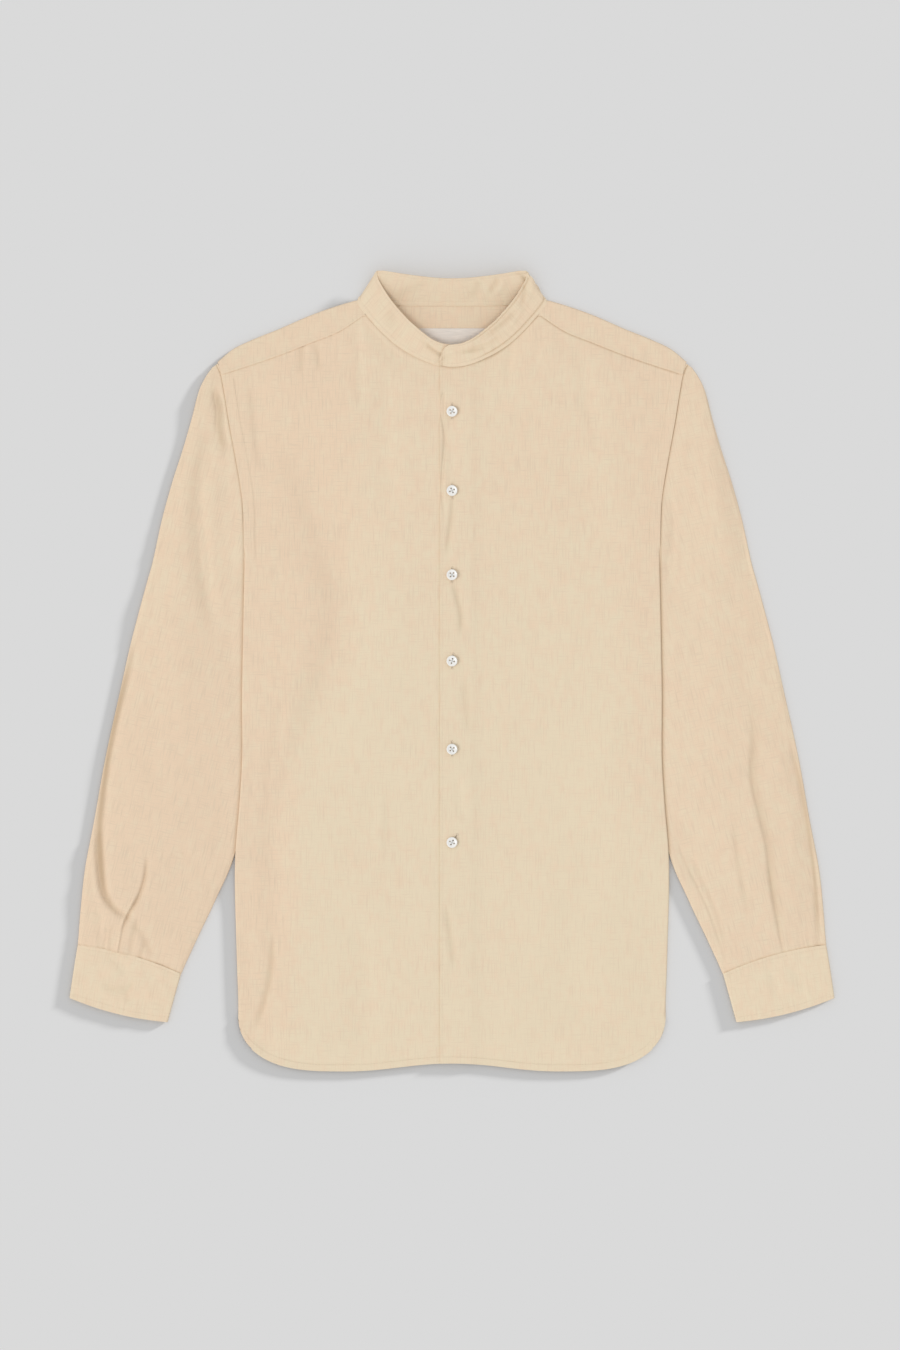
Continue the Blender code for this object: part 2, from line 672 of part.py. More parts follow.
def main():
    for old in list(bpy.data.objects):
        bpy.data.objects.remove(old)
    shirt = collection("mandarin_collar_shirt")
    cutters = collection("cutters")
    linen = finish("linen", LINEN, 0.9)
    linen_band = finish("linen_band", LINEN_SHADE, 0.9)
    white = finish("button_white", BUTTON_WHITE, 0.3)
    grey = finish("label_grey", LABEL_GREY, 0.8)

    add_cloth("back", back_panel(), WALL, shirt, linen)
    add_cloth("yoke", yoke(), WALL, shirt, linen)
    for name, side in (("left", 1), ("right", -1)):
        add_cloth("front_" + name, front_panel("front_" + name, side), WALL, shirt, linen)
        add_cloth("sleeve_" + name, sleeve("sleeve_" + name, side), WALL, shirt, linen)
        add_cloth("cuff_" + name, cuff(side), CUFF_WALL, shirt, linen_band)
    add_cloth("collar_band", collar_band(), BAND_WALL, shirt, linen_band)
    add_object("neck_label", label_mesh(), shirt, grey)

    drilled = button_mesh(cutters)
    for number, button in enumerate(BUTTONS, 1):
        made = add_object(f"button_{number}", drilled, shirt, white)
        top = front_level("front_left", 0, button.y) + WALL / 2 + SEAM_GAP
        made.location = Vector((0, button.y, top)) * MM
        made.rotation_euler.z = math.radians(button.turn)


main()
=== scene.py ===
"""The looks of a linen shirt with a mandarin collar, laid flat on its back with its front up.

Shapes are worked out in millimetres, in the part's own axes, and MM turns them into metres: X
runs towards the wearer's left sleeve, Y from the hem up to the collar, and Z up from the
surface. Each piece of cloth is a fine sheet on the middle of its solid's wall, with its creases
laid in, and Solidify gives it its thickness.
"""

import math
from collections import namedtuple

import bmesh
import bpy
import numpy as np
from mathutils import Matrix, Vector


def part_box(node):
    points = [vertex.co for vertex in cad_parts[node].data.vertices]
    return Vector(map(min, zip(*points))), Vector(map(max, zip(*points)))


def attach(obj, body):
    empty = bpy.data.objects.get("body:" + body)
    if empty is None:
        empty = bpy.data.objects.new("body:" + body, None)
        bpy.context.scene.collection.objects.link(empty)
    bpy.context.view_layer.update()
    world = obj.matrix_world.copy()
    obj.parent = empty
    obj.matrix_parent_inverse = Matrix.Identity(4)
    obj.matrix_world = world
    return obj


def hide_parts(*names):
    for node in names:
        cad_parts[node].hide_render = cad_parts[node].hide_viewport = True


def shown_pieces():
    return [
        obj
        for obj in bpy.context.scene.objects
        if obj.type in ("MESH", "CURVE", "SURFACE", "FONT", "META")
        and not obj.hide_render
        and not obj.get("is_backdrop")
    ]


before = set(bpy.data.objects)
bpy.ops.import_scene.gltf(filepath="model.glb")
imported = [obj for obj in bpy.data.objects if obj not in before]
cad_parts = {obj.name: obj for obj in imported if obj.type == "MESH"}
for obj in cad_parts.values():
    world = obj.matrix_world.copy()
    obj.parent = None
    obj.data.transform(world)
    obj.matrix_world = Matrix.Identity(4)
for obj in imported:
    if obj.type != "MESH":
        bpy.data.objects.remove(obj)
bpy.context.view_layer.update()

MM = 0.001
BODY = "root"
MERGE_DISTANCE = 0.00002

# Layers, repeated from the part's source
PART_WALL = 1.0
BACK_MID = PART_WALL / 2
ROLL = 1.15
FRONT_MID = BACK_MID + 2 * ROLL
SEAM_GAP = 0.4
LAP_RISE = 0.9
LAP_RAMP = (16.0, 34.0)
SLEEVE_ROLL = 0.95
CUFF_ROLL = 1.15
TUBE_LOW = PART_WALL / 2 + 0.05
CUFF_LOW = 0.75
TUCK_LIFT = 1.7                 # the tucked sleeve is pressed flat, so the body rises less
TUCK_RAMP = 40.0
TUCK_MARGIN = 6.0
TUCK_EARLY = 25.0
TUCK_TOP = (125.0, 185.0)
TUCK_LOW = (-190.0, -240.0)
FRONT_LOFT = 2.0
LOFT_SIDE_RUN = 64.0
LOFT_HEM_RUN = 30.0
LOFT_TOP_RUN = 35.0
SIDE_ROLL_TOP = (130.0, 102.0)
SIDE_ROLL_LOW = (-352.0, -326.0)
BACK_INSET_TOP = (150.0, 122.0)
ARMHOLE_OPEN = (114.0, 152.0)
COVER_RUN = 66.0
CROWN_RUN = 0.3

# Outlines, repeated from the part's source
LAP = 12.0
NECK_CORNER_X = 87.0
YOKE_NECK_X = 94.0              # the yoke runs this far in, under the band
YOKE_BACK_Y = 270.0
HEM_WAVE_X = 105.0
HEM_MID_Y = -391.5
HEM_LOW_Y = -399.5
TAIL_X = 213.0
TAIL_Y = -348.0
TAIL_BEND = (3.2, 1.85)
CORNER_Y = -372.0
BUTTON_HOLE_SPACING = 3.2
BUTTON_HOLE_RADII = (0.75, 0.85)        # below and above
BUTTON_RADIUS = 5.5
BUTTON_HEIGHT = 2.4
BUTTON_FACE = 0.70              # height of the dished face, as a share
LABEL_LOW = (-33.0, 317.0)
LABEL_HIGH = (35.5, 343.0)
LABEL_CLEAR = 0.25

Edge = namedtuple("Edge", "y x")
SIDE_EDGE = (
    Edge(308.5, 235.5), Edge(297.0, 230.5), Edge(282.0, 227.5), Edge(251.0, 222.5),
    Edge(210.0, 215.0), Edge(172.0, 209.0), Edge(135.0, 207.5), Edge(60.0, 208.5),
    Edge(-30.0, 210.0), Edge(-90.0, 210.0), Edge(-131.0, 212.5), Edge(-180.0, 216.5),
    Edge(-278.0, 215.5), Edge(TAIL_Y, TAIL_X),
)
TUCK_EDGE = (
    Edge(114.0, 208.0), Edge(93.0, 190.0), Edge(72.0, 166.0), Edge(-30.0, 186.0),
    Edge(-105.0, 200.0), Edge(-181.5, 216.5),
)

Spot = namedtuple("Spot", "x y")
SHOULDER_LINE = (
    Spot(96.5, 371.0), Spot(115.0, 365.5), Spot(139.0, 357.0), Spot(175.0, 341.5),
    Spot(201.0, 331.0), Spot(220.0, 321.5), Spot(235.5, 308.5),
)
NECK_SEAM = (
    Spot(-24.0, 309.5), Spot(0.0, 304.5), Spot(24.0, 309.5), Spot(49.0, 321.0),
    Spot(66.0, 335.0), Spot(80.0, 349.5), Spot(NECK_CORNER_X, 357.0),
)
YOKE_SEAM = (
    Spot(NECK_CORNER_X, 357.0), Spot(113.0, 340.0), Spot(139.0, 329.5), Spot(168.0, 318.0),
    Spot(195.0, 308.5), Spot(230.5, 297.0),
)

Section = namedtuple("Section", "inner_x inner_y outer_x outer_y bow fullness")
SLEEVE_SECTIONS = (
    Section(235.2, 306.8, 239.8, 303.2, 0.0, 0.0),
    Section(231.0, 297.5, 246.5, 294.0, 0.0, 0.0),
    Section(227.8, 282.0, 253.5, 279.0, 0.0, 0.8),
    Section(223.5, 256.0, 260.5, 252.0, 0.0, 1.6),
    Section(217.8, 224.0, 269.5, 221.0, 0.0, 2.4),
    Section(211.5, 190.0, 279.5, 190.0, 0.0, 3.0),
    Section(207.7, 152.0, 290.0, 152.0, 0.0, 3.2),
    Section(208.3, 114.0, 299.0, 111.0, 0.0, 3.2),
    Section(190.0, 93.0, 304.5, 91.0, 0.0, 3.2),
    Section(166.0, 72.0, 310.0, 71.0, 0.0, 3.2),
    Section(176.0, 20.0, 321.5, 27.0, 0.0, 3.2),
    Section(186.0, -30.0, 332.0, -20.0, 0.0, 3.2),
    Section(200.0, -105.0, 346.5, -86.0, 0.0, 3.2),
    Section(216.5, -181.5, 358.0, -150.0, 0.0, 3.0),
    Section(236.0, -228.0, 366.8, -196.0, -1.0, 2.6),
    Section(253.5, -265.0, 371.2, -236.0, -2.5, 2.0),
    Section(270.4, -301.5, 374.0, -272.5, -4.5, 1.0),
)
CUFF_SECTIONS = (
    Section(270.6, -302.0, 374.2, -273.0, -4.5, 0.6),
    Section(277.4, -326.3, 378.4, -299.0, 0.0, 0.8),
    Section(284.0, -350.3, 382.4, -326.0, 4.0, 0.3),
)

SLEEVE_RUN = 580.0              # length of a sleeve
TUBE_ACROSS = 110.0             # about the width of a flattened sleeve or cuff
CUFF_DEPTH = 53.0
CUFF_PART_WALL = 1.4

Station = namedtuple("Station", "seam_x seam_y seam_z top_x top_y top_z")
BAND_STATIONS = (
    Station(0.0, 305.6, 3.0, 0.0, 325.0, 13.5),
    Station(12.0, 306.6, 3.0, 9.0, 326.2, 13.8),
    Station(24.0, 310.4, 3.0, 18.0, 330.0, 14.0),
    Station(37.0, 316.4, 3.0, 26.5, 335.6, 14.3),
    Station(48.0, 322.8, 3.0, 35.0, 342.4, 14.5),
    Station(57.5, 329.6, 3.0, 42.6, 349.0, 14.5),
    Station(66.0, 337.2, 3.0, 49.4, 356.2, 14.4),
    Station(73.4, 344.6, 3.0, 55.4, 363.0, 14.2),
    Station(79.6, 351.6, 3.0, 61.0, 370.0, 13.8),
    Station(85.0, 357.8, 3.0, 66.0, 377.4, 13.0),
    Station(89.8, 363.6, 3.0, 70.4, 385.0, 12.2),
    Station(93.2, 369.0, 2.8, 73.8, 392.0, 11.5),
    Station(93.6, 371.4, 2.5, 75.0, 396.6, 11.0),
    Station(92.4, 372.6, 2.2, 74.4, 398.6, 11.0),
    Station(88.0, 371.8, 1.8, 70.6, 399.2, 11.5),
    Station(78.0, 370.0, 1.5, 63.0, 398.2, 12.6),
    Station(64.0, 368.4, 1.4, 52.0, 396.2, 14.0),
    Station(46.0, 367.4, 1.4, 37.0, 393.8, 15.3),
    Station(24.0, 367.0, 1.4, 19.0, 391.6, 16.2),
    Station(0.0, 366.8, 1.4, 0.0, 390.8, 16.5),
)
BACK_NECK_STATIONS = 7
BAND_LAP_RISE = 2.6
BAND_LAP_RUN = 60.0
BAND_LAP_TOP_Y = 340.0
BAND_PART_WALL = 1.6
BAND_HEIGHT = 24.0
Lap = namedtuple("Lap", "past_centre height")
BAND_END = (Lap(4.0, 0.96), Lap(8.0, 0.78), Lap(10.5, 0.55), Lap(LAP, 0.25))

# The cloth itself
LINEN_WALL = 0.7
BAND_WALL = 1.3
CUFF_WALL = 1.1
LABEL_WALL = 0.4
EDGE_ROUND = 0.18               # width of the bevel that rounds a cut or folded edge
HEM_DEPTH = 6.5                 # the hem's fold, and how much thicker it makes the cloth
HEM_RISE = 0.35
EDGE_STEP = 0.8                 # a fold's thickness fades over this run
FACING_X = 22.0                 # the placket's facing ends here, under the left front
FACING_RISE = 0.25
FELL_WIDTH = 10.5               # flat-felled armhole seam
FELL_RISE = 0.32
FRONT_HOLLOW = 1.1              # a crease may press a front down this far
SEAM_OVERLAP = 1.5              # a sewn edge runs this far under its neighbour
SEAM_DIP = 0.5                  # and lies this much lower there
SEAM_DIP_RUN = 3.0
ARMHOLE_DIP = {1: 1.5, -1: 0.9}
CUFF_SEAM_DIP = 0.3
YOKE_EDGE_RISE = 0.2            # the yoke's folded front edge stands this much higher
BAND_SEAM_RISE = 0.35
UNDERLAP_DIP = 0.7              # the right front is pressed this much lower under the left
TUCK_SPREAD = {"front_left": 38.0, "front_right": 12.0}     # the fronts rise this much earlier
SLEEVE_HEAD_RISE = 0.25         # the sleeve's head comes up to the body's level at the armhole
SLEEVE_SIDE_RISE = {1: 0.3, -1: 0.7}    # and this high, in 3 mm, beside the body's side
SLEEVE_PRESS = 0.40             # share of its thickness that the sleeve keeps under the body
SLEEVE_HOLLOW = 1.0             # a crease may press a sleeve's top layer down this far
ARMPIT_TUCK = 4.0               # the sleeve runs this far under the body at the armpit
ARMPIT_TOP = (152.0, 135.0)     # between these heights
ARMPIT_LOW = (60.0, 100.0)
PRESSED_TOP = (165.0, 125.0)    # and is pressed flat there between these
PRESSED_LOW = (-186.0, -178.0)

# Creases: a trough, or a ridge where its depth is negative, along a listed path.
# Its left and right sides, looking along the path, have their own widths.
Crease = namedtuple("Crease", "piece depth left right path")
CREASE_STRENGTH = 2.0
SHARP_CREASE = 4.5              # a trough narrower than this is a pressed fold, and gets painted shade
FOLD_SHARE = 0.33               # how much painted shade a pressed fold gets for each millimetre of its depth
CREASES = (
    Crease("front_right", 1.6, 36, 17, ((-188, 300), (-162, 230), (-140, 170), (-119, 110),
           (-112, 60), (-120, 10), (-136, -40), (-160, -100), (-174, -170))),
    Crease("front_right", 0.9, 15, 12, ((-170, -60), (-180, -173), (-176, -234), (-184, -300))),
    Crease("front_right", 1.0, 18, 5, ((-199, 296), (-196, 250), (-189, 196))),
    Crease("front_right", 0.5, 6, 7, ((-168, -20), (-174, -63), (-184, -122))),
    Crease("front_right", -0.4, 5, 5, ((-70, -120), (-73, -190))),
    Crease("front_right", 0.5, 3, 3, ((-150, 330), (-150, 296))),
    Crease("front_right", 0.5, 4, 3, ((-137, 332), (-131, 298))),
    Crease("front_right", 0.9, 2.5, 4, ((-178, -258), (-180, -298), (-187, -330), (-198, -362))),
    Crease("front_right", 0.45, 4, 6, ((-96, 352), (-92, 312), (-91, 262))),
    Crease("front_right", 0.5, 9, 12, ((-60, 318), (-66, 240), (-58, 150))),
    Crease("front_right", 0.6, 12, 16, ((-100, -230), (-84, -310), (-90, -398))),
    Crease("front_left", 0.45, 7, 5, ((90, 356), (83, 300))),
    Crease("front_left", 0.6, 4, 5, ((60, 330), (55, 290))),
    Crease("front_left", 0.5, 9, 8, ((128, 334), (134, 280), (150, 220))),
    Crease("front_left", 0.7, 26, 30, ((110, 250), (150, 100), (140, -80))),
    Crease("front_left", 0.5, 18, 22, ((150, -150), (120, -260), (135, -380))),
    Crease("front_left", 0.7, 10, 5, ((-4, 282), (-4, 266), (-2, 230), (-3, 178))),
    Crease("front_left", 0.7, 2.2, 1.6, ((-9.5, 280), (-10, 258), (-7, 234), (-9, 206),
           (-10.5, 176), (-7, 150))),
    Crease("front_left", 0.8, 2.2, 2.0, ((-8, 282), (-10, 268), (-10, 252))),
    Crease("front_left", 0.8, 5, 1.8, ((0, 92), (4, 76), (8, 58), (8, 34))),
    Crease("front_left", 0.4, 5, 4, ((12, 0), (17, -66))),
    Crease("front_left", 0.5, 4, 3, ((-6, -228), (3, -300))),
    Crease("front_left", 0.6, 4, 2, ((0, 180), (0, 160), (-3, 138), (-6, 112))),
    Crease("front_left", 0.35, 5, 5, ((6, -100), (9, -150))),
    Crease("sleeve_right", 1.6, 5, 4, ((-240, 288), (-233, 264), (-232, 240), (-226, 214))),
    Crease("sleeve_right", 1.5, 8, 9, ((-234, 256), (-248, 205), (-253, 170), (-246, 90),
           (-236, 24))),
    Crease("sleeve_right", 2.6, 4.0, 3.0, ((-314, 40), (-332, -30), (-341, -70), (-346.5, -104),
           (-351, -138), (-352.5, -165), (-351, -196), (-347, -222), (-335, -238), (-325, -243))),
    Crease("sleeve_right", 1.3, 3.8, 3.2, ((-353, -150), (-351, -196), (-347, -222), (-337, -237),
           (-324, -245), (-312, -250))),
    Crease("sleeve_right", -0.25, 2.6, 2.6, ((-351, -110), (-357, -145),
           (-359, -183), (-355, -218), (-342, -246))),
    Crease("sleeve_right", -0.5, 14, 7, ((-322, -20), (-335, -104), (-341, -145),
           (-342, -183), (-338, -212), (-331, -228))),
    Crease("sleeve_right", 1.1, 3.0, 1.4, ((-304.5, -178), (-306.5, -203), (-313, -224),
           (-324, -243), (-334, -268))),
    Crease("sleeve_right", -0.9, 1.2, 1.2, ((-311, -216), (-321, -235), (-330, -256),
           (-336, -290))),
    Crease("sleeve_right", 0.45, 3, 2.5, ((-312, -240), (-318, -262), (-322, -288))),
    Crease("sleeve_right", 0.6, 5, 5, ((-353, -232), (-351, -256), (-347, -286))),
    Crease("sleeve_right", 0.5, 4, 4, ((-322, -250), (-309, -262), (-298, -288))),
    Crease("sleeve_right", 0.4, 3, 3, ((-336, -250), (-341, -262), (-340, -284))),
    Crease("sleeve_right", 0.4, 2.5, 2.5, ((-304, -266), (-314, -290))),
    Crease("sleeve_right", 0.3, 1.5, 1.5, ((-344, -250), (-347, -280))),
    Crease("sleeve_right", 0.6, 14, 12, ((-280, 60), (-300, -40), (-296, -130))),
    Crease("sleeve_left", 0.5, 4, 5, ((217, 186), (221, 140), (213, 84))),
    Crease("sleeve_left", 0.9, 9, 2.4, ((297, -20), (300.5, -63), (299, -104), (307, -142),
           (314.5, -174), (318, -208), (324, -246), (332, -286))),
    Crease("sleeve_left", 0.35, 2.5, 1.4, ((315, -180), (319, -212), (325, -248), (333, -296))),
    Crease("sleeve_left", 1.9, 2.2, 2.0, ((336, -60), (349, -118), (357, -165), (362, -205),
           (365, -242), (366, -284))),
    Crease("sleeve_left", -0.5, 8, 9, ((322, -60), (338, -140), (346, -210))),
    Crease("sleeve_left", -0.3, 2.5, 2.5, ((358, -140), (364, -176), (368, -221), (371, -270))),
    Crease("sleeve_left", 0.35, 1.8, 1.5, ((224, -170), (241, -206), (258, -243), (274, -290))),
    Crease("sleeve_left", 0.35, 3, 4, ((236, -178), (262, -235), (276, -286))),
    Crease("sleeve_left", 0.4, 5, 3, ((282, -140), (286, -190), (298, -250))),
    Crease("sleeve_left", 0.6, 12, 14, ((262, 150), (284, 40), (306, -60))),
    Crease("cuff_right", 0.5, 5, 5, ((-346, -280), (-334, -290), (-322, -304))),
    Crease("cuff_right", 0.45, 5, 4, ((-352, -310), (-334, -318), (-312, -310))),
    Crease("cuff_right", 0.35, 4, 4, ((-326, -316), (-322, -332))),
    Crease("cuff_left", 0.4, 6, 5, ((318, -296), (326, -330))),
    Crease("cuff_left", 0.4, 5, 5, ((340, -290), (352, -318))),
    Crease("back", -0.5, 30, 34, ((-90, 240), (-70, 60), (-96, -160))),
    Crease("back", -0.5, 26, 30, ((84, 200), (104, 0), (80, -240))),
    Crease("back", -0.4, 18, 20, ((-10, 250), (4, 150), (-6, 20))),
    Crease("yoke", -0.3, 14, 16, ((-60, 350), (-30, 300), (-64, 275))),
)
# On the collar band a crease runs between distances along its seam from the centre front,
# measured towards the wearer's left, and heights as shares of the band's own
BAND_CREASE_STRENGTH = 1.7
BandCrease = namedtuple("BandCrease", "depth width start start_height end end_height")
BAND_CREASES = (
    BandCrease(-0.9, 3.0, -4, 0.55, -36, 0.86),
    BandCrease(0.9, 2.4, -2, 0.38, -38, 0.66),
    BandCrease(0.7, 2.0, 6, 0.60, 44, 0.30),
    BandCrease(-0.9, 2.6, 12, 0.80, 62, 0.48),
    BandCrease(0.8, 2.2, 40, 0.78, 96, 0.62),
    BandCrease(-0.8, 2.4, 66, 0.42, 118, 0.66),
    BandCrease(0.8, 2.4, 94, 0.55, 116, 1.00),
    BandCrease(1.1, 2.4, 118, 0.20, 134, 0.95),
    BandCrease(-0.8, 3.0, 110, 0.60, 128, 0.90),
    BandCrease(-0.7, 3.0, 150, 0.90, 168, 0.30),
    BandCrease(0.8, 2.6, 156, 0.95, 176, 0.30),
    BandCrease(0.5, 4.0, 196, 0.15, 178, 0.90),
    BandCrease(0.4, 5.0, -150, 0.20, -186, 0.80),
    BandCrease(-0.4, 5.0, 40, 0.30, 60, 0.80),
    BandCrease(0.4, 4.0, 20, 0.35, 34, 0.85),
    BandCrease(0.4, 5.0, -70, 0.30, -92, 0.75),
)

# Slack left in the cloth: soft waves over each size, and crumples that meet in faint ridges
Slack = namedtuple("Slack", "height size seed")
WAVES = (Slack(0.55, 70.0, 11), Slack(0.22, 27.0, 12), Slack(0.08, 11.0, 13))
CRUMPLES = (Slack(0.28, 38.0, 21), Slack(0.14, 16.0, 22))
CUFF_CRUMPLES = (Slack(0.55, 17.0, 31), Slack(0.28, 8.0, 32))
PUCKER_HEIGHT = 0.28
PUCKER_PITCH = 7.5
PUCKER_RUN = 16.0
SLACK_ON_SLEEVE = 1.8
SLACK_ON_BAND = 1.1
BAND_TIGHT = 3.8                # how much harder the wearer's left side of the band puckers
SLACK_UNDER = 0.35

# Where each piece's own random slack, puckers or stitches start
SEEDS = {
    "back": 70, "yoke": 80, "shoulders": 90, "sleeve_left": 110, "sleeve_right": 140,
    "cuff_left": 170, "cuff_right": 190, "band": 210, "band_seam": 220, "band_top": 230,
    "stitches_left": 300, "stitches_right": 320, "stitches_band": 400,
    "stitches_band_end": 420, "stitches_cuff": 500, "stitches_yoke": 540,
}

# Sewing
STITCH_LENGTH = 2.3
STITCH_PITCH = 2.9
THREAD = 0.42
EDGE_STITCH = 2.2               # a row of stitches lies this far inside an edge
HOLE_LENGTH = 15.0              # buttonhole
HOLE_BAR_PITCH = 0.62
HOLE_BAR_LENGTH = 1.7

# Threads and ribs in a metre of cloth or tape
THREADS_PER_METRE = 1700
LABEL_RIBS = 2200
LABEL_WARP = 1500

# Record of the cut size of what shows, in metres, and the area inside it in square metres
Cut = namedtuple("Cut", "width length area")

# Colours, as linear red, green and blue
STRAW = (0.807, 0.685, 0.501)
ROSE = (0.823, 0.638, 0.464)
SLUB_SHADE = (0.690, 0.560, 0.415)
PAINTED_FOLD_SHADE = (0.440, 0.300, 0.165)      # painted shade: the brown that the cloth in a sharp fold is drawn towards
FOLD_SHADE_MIX = 0.6
NECK_PAINTED_SHADE = {1: 0.55, -1: 0.15}        # painted shade too, in a line beside the neck, armhole and cuff seams, by side
SIDE_PAINTED_SHADE = {1: 0.60, -1: 0.30}
CUFF_PAINTED_SHADE = 0.30
SEWING_THREAD = (0.800, 0.680, 0.520)
BUTTON_WHITE = (0.900, 0.890, 0.860)
BUTTON_THREAD = (0.660, 0.660, 0.640)
LABEL_GREY = (0.815, 0.745, 0.675)
# painted shadow: a dark strip laid in each buttonhole's slit, where the opening lies in shade
SLIT_SHADE = (0.250, 0.190, 0.130)
FLOOR_GREY = (0.730, 0.730, 0.730)

ROSY_PIECES = {
    "back": 0.5, "yoke": 0.72, "sleeve_left": 0.68, "sleeve_right": 0.68, "cuff_left": 0.28,
    "cuff_right": 0.5, "collar_band": 0.42, "neck_label": 0.5,
}

# Light and camera
WORLD_STRENGTH = 0.76
KEY_STRENGTH = 1.00             # falls on the shirt from its right sleeve's side
KEY_HEIGHT = 50.0               # degrees above the surface
KEY_TURN = 200.0                # degrees from +X
KEY_SOFTNESS = 26.0
COLLAR_STRENGTH = 0.82          # a higher light for the sloping band and what lies inside it
COLLAR_HEIGHT = 68.0
COLLAR_TURN = 245.0
COLLAR_PIECES = ("band_cloth", "stitches_band", "yoke_cloth", "label_cloth")
CAST_STRENGTH = 3.45            # draws the shirt's soft shadow on the floor
CAST_HEIGHT = 10.5
CAST_TURN = 30.0
CAST_SOFTNESS = 5.0
FLOOR_SIZE = 20.0
FLOOR_DROP = 0.25               # keeps the cloth's underside clear of the floor
CAMERA_SPOT = (-2.0, -3.5)
CAMERA_HEIGHT = 3.0
SENSOR = 36.0
VIEW_LENGTH = 1.350             # the frame's long side covers this much of the surface


# Curves and noise

def ramp(value, start, end):
    """Ease from 0 to 1 as the value goes from start to end."""
    share = np.clip((value - start) / (end - start), 0, 1)
    return share * share * (3 - 2 * share)


def blend(start, end, share):
    return start + (end - start) * share


def smooth_curve(keys, values):
    """Smooth curve through values at rising keys, as a function of arrays."""
    keys = np.asarray(keys, float)
    values = np.asarray(values, float)
    slopes = np.gradient(values, keys)

    def at(key):
        key = np.clip(key, keys[0], keys[-1])
        i = np.clip(np.searchsorted(keys, key) - 1, 0, len(keys) - 2)
        span = keys[i + 1] - keys[i]
        t = (key - keys[i]) / span
        rise = t * t * (3 - 2 * t)
        bend = t * (1 - t) * ((1 - t) * slopes[i] - t * slopes[i + 1]) * span
        return values[i] + (values[i + 1] - values[i]) * rise + bend

    return at


def table_curve(table, key, value):
    rows = sorted(table, key=lambda row: getattr(row, key))
    return smooth_curve([getattr(row, key) for row in rows], [getattr(row, value) for row in rows])


side_edge = table_curve(SIDE_EDGE, "y", "x")
tuck_edge = table_curve(TUCK_EDGE, "y", "x")
shoulder_y = table_curve(SHOULDER_LINE, "x", "y")
neck_seam_y = table_curve(NECK_SEAM, "x", "y")
yoke_seam_y = table_curve(YOKE_SEAM, "x", "y")
back_neck_seam_y = table_curve(BAND_STATIONS[-BACK_NECK_STATIONS:], "seam_x", "seam_y")


def side_x(y):
    """Half width of the body at a height: armhole, side, then the hem's round corner."""
    across, down = TAIL_BEND
    drop = np.clip((TAIL_Y - y) / (TAIL_Y - HEM_LOW_Y), 0, 1)
    corner = HEM_WAVE_X + (TAIL_X - HEM_WAVE_X) * (1 - drop ** down) ** (1 / across)
    return np.where(y >= TAIL_Y, side_edge(y), corner)


def hem_y(x):
    """Height of the hem: a shallow wave in the middle and a rounded corner at each side."""
    x = np.abs(x)
    middle = (HEM_MID_Y + HEM_LOW_Y) / 2
    wave = middle + (HEM_MID_Y - middle) * np.cos(np.pi * x / HEM_WAVE_X)
    across, down = TAIL_BEND
    share = np.clip((x - HEM_WAVE_X) / (TAIL_X - HEM_WAVE_X), 0, 1)
    corner = TAIL_Y - (TAIL_Y - HEM_LOW_Y) * (1 - share ** across) ** (1 / down)
    return np.where(x <= HEM_WAVE_X, wave, corner)


def panel_top_y(x):
    """Top edge of a front panel: the neck seam, then the yoke seam."""
    return np.where(x <= NECK_CORNER_X, neck_seam_y(x), yoke_seam_y(x))


def tuck_lift(x, y, spread=0.0):
    """How far the body is lifted by the sleeve tucked under its side."""
    edge = np.minimum(tuck_edge(y), tuck_edge(y - TUCK_EARLY))
    across = ramp(np.abs(x), edge - TUCK_MARGIN - TUCK_RAMP - spread, edge - TUCK_MARGIN)
    along = ramp(y, *reversed(TUCK_TOP)) * ramp(y, *reversed(TUCK_LOW))
    return TUCK_LIFT * across * along


def soft_noise(x, y, size, seed):
    """Smooth heights between -1 and 1 that change over about the given size."""
    cells = 64
    lattice = np.random.default_rng(seed).uniform(-1, 1, (cells, cells))
    turn = seed * 0.7
    column = (x * math.cos(turn) - y * math.sin(turn)) / size + cells
    row = (x * math.sin(turn) + y * math.cos(turn)) / size + cells
    column_start, row_start = np.floor(column), np.floor(row)
    u, v = column - column_start, row - row_start
    u = u * u * u * (u * (6 * u - 15) + 10)
    v = v * v * v * (v * (6 * v - 15) + 10)
    c = column_start.astype(int) % cells
    r = row_start.astype(int) % cells
    c_next, r_next = (c + 1) % cells, (r + 1) % cells
    low = blend(lattice[r, c], lattice[r, c_next], u)
    high = blend(lattice[r_next, c], lattice[r_next, c_next], u)
    return blend(low, high, v)


def slack(x, y, seed=0):
    """Soft waves and faint crumples of cloth laid by hand."""
    waves = sum(w.height * soft_noise(x, y, w.size, w.seed + seed) for w in WAVES)
    crumples = sum(c.height * (0.5 - np.abs(soft_noise(x, y, c.size, c.seed + seed)) ** 0.8)
                   for c in CRUMPLES)
    return waves + crumples


def puckers(along, away, seed=0):
    """Small ripples that a sewn seam draws into the cloth beside it."""
    phase = along / PUCKER_PITCH + 1.3 * soft_noise(along, along * 0, 31.0, 41 + seed)
    strength = 0.55 + 0.45 * soft_noise(along, along * 0, 47.0, 42 + seed)
    return PUCKER_HEIGHT * strength * np.sin(2 * np.pi * phase) * np.exp(-away / PUCKER_RUN)


def along_path(path, x, y):
    """Nearest point of a path: its distance, signed + to the left, and its share of the way."""
    path = np.asarray(path, float)
    steps = np.diff(path, axis=0)
    lengths = np.linalg.norm(steps, axis=1)
    begins = np.concatenate(([0], np.cumsum(lengths)))
    best = np.full(x.shape, 1e9)
    side = np.ones(x.shape)
    share = np.zeros(x.shape)
    for point, step, length, begin in zip(path, steps, lengths, begins):
        dx, dy = x - point[0], y - point[1]
        t = np.clip((dx * step[0] + dy * step[1]) / length ** 2, 0, 1)
        off = np.hypot(dx - t * step[0], dy - t * step[1])
        nearer = off < best
        best = np.where(nearer, off, best)
        side = np.where(nearer, np.sign(step[0] * dy - step[1] * dx), side)
        share = np.where(nearer, (begin + t * length) / begins[-1], share)
    return best, side, share


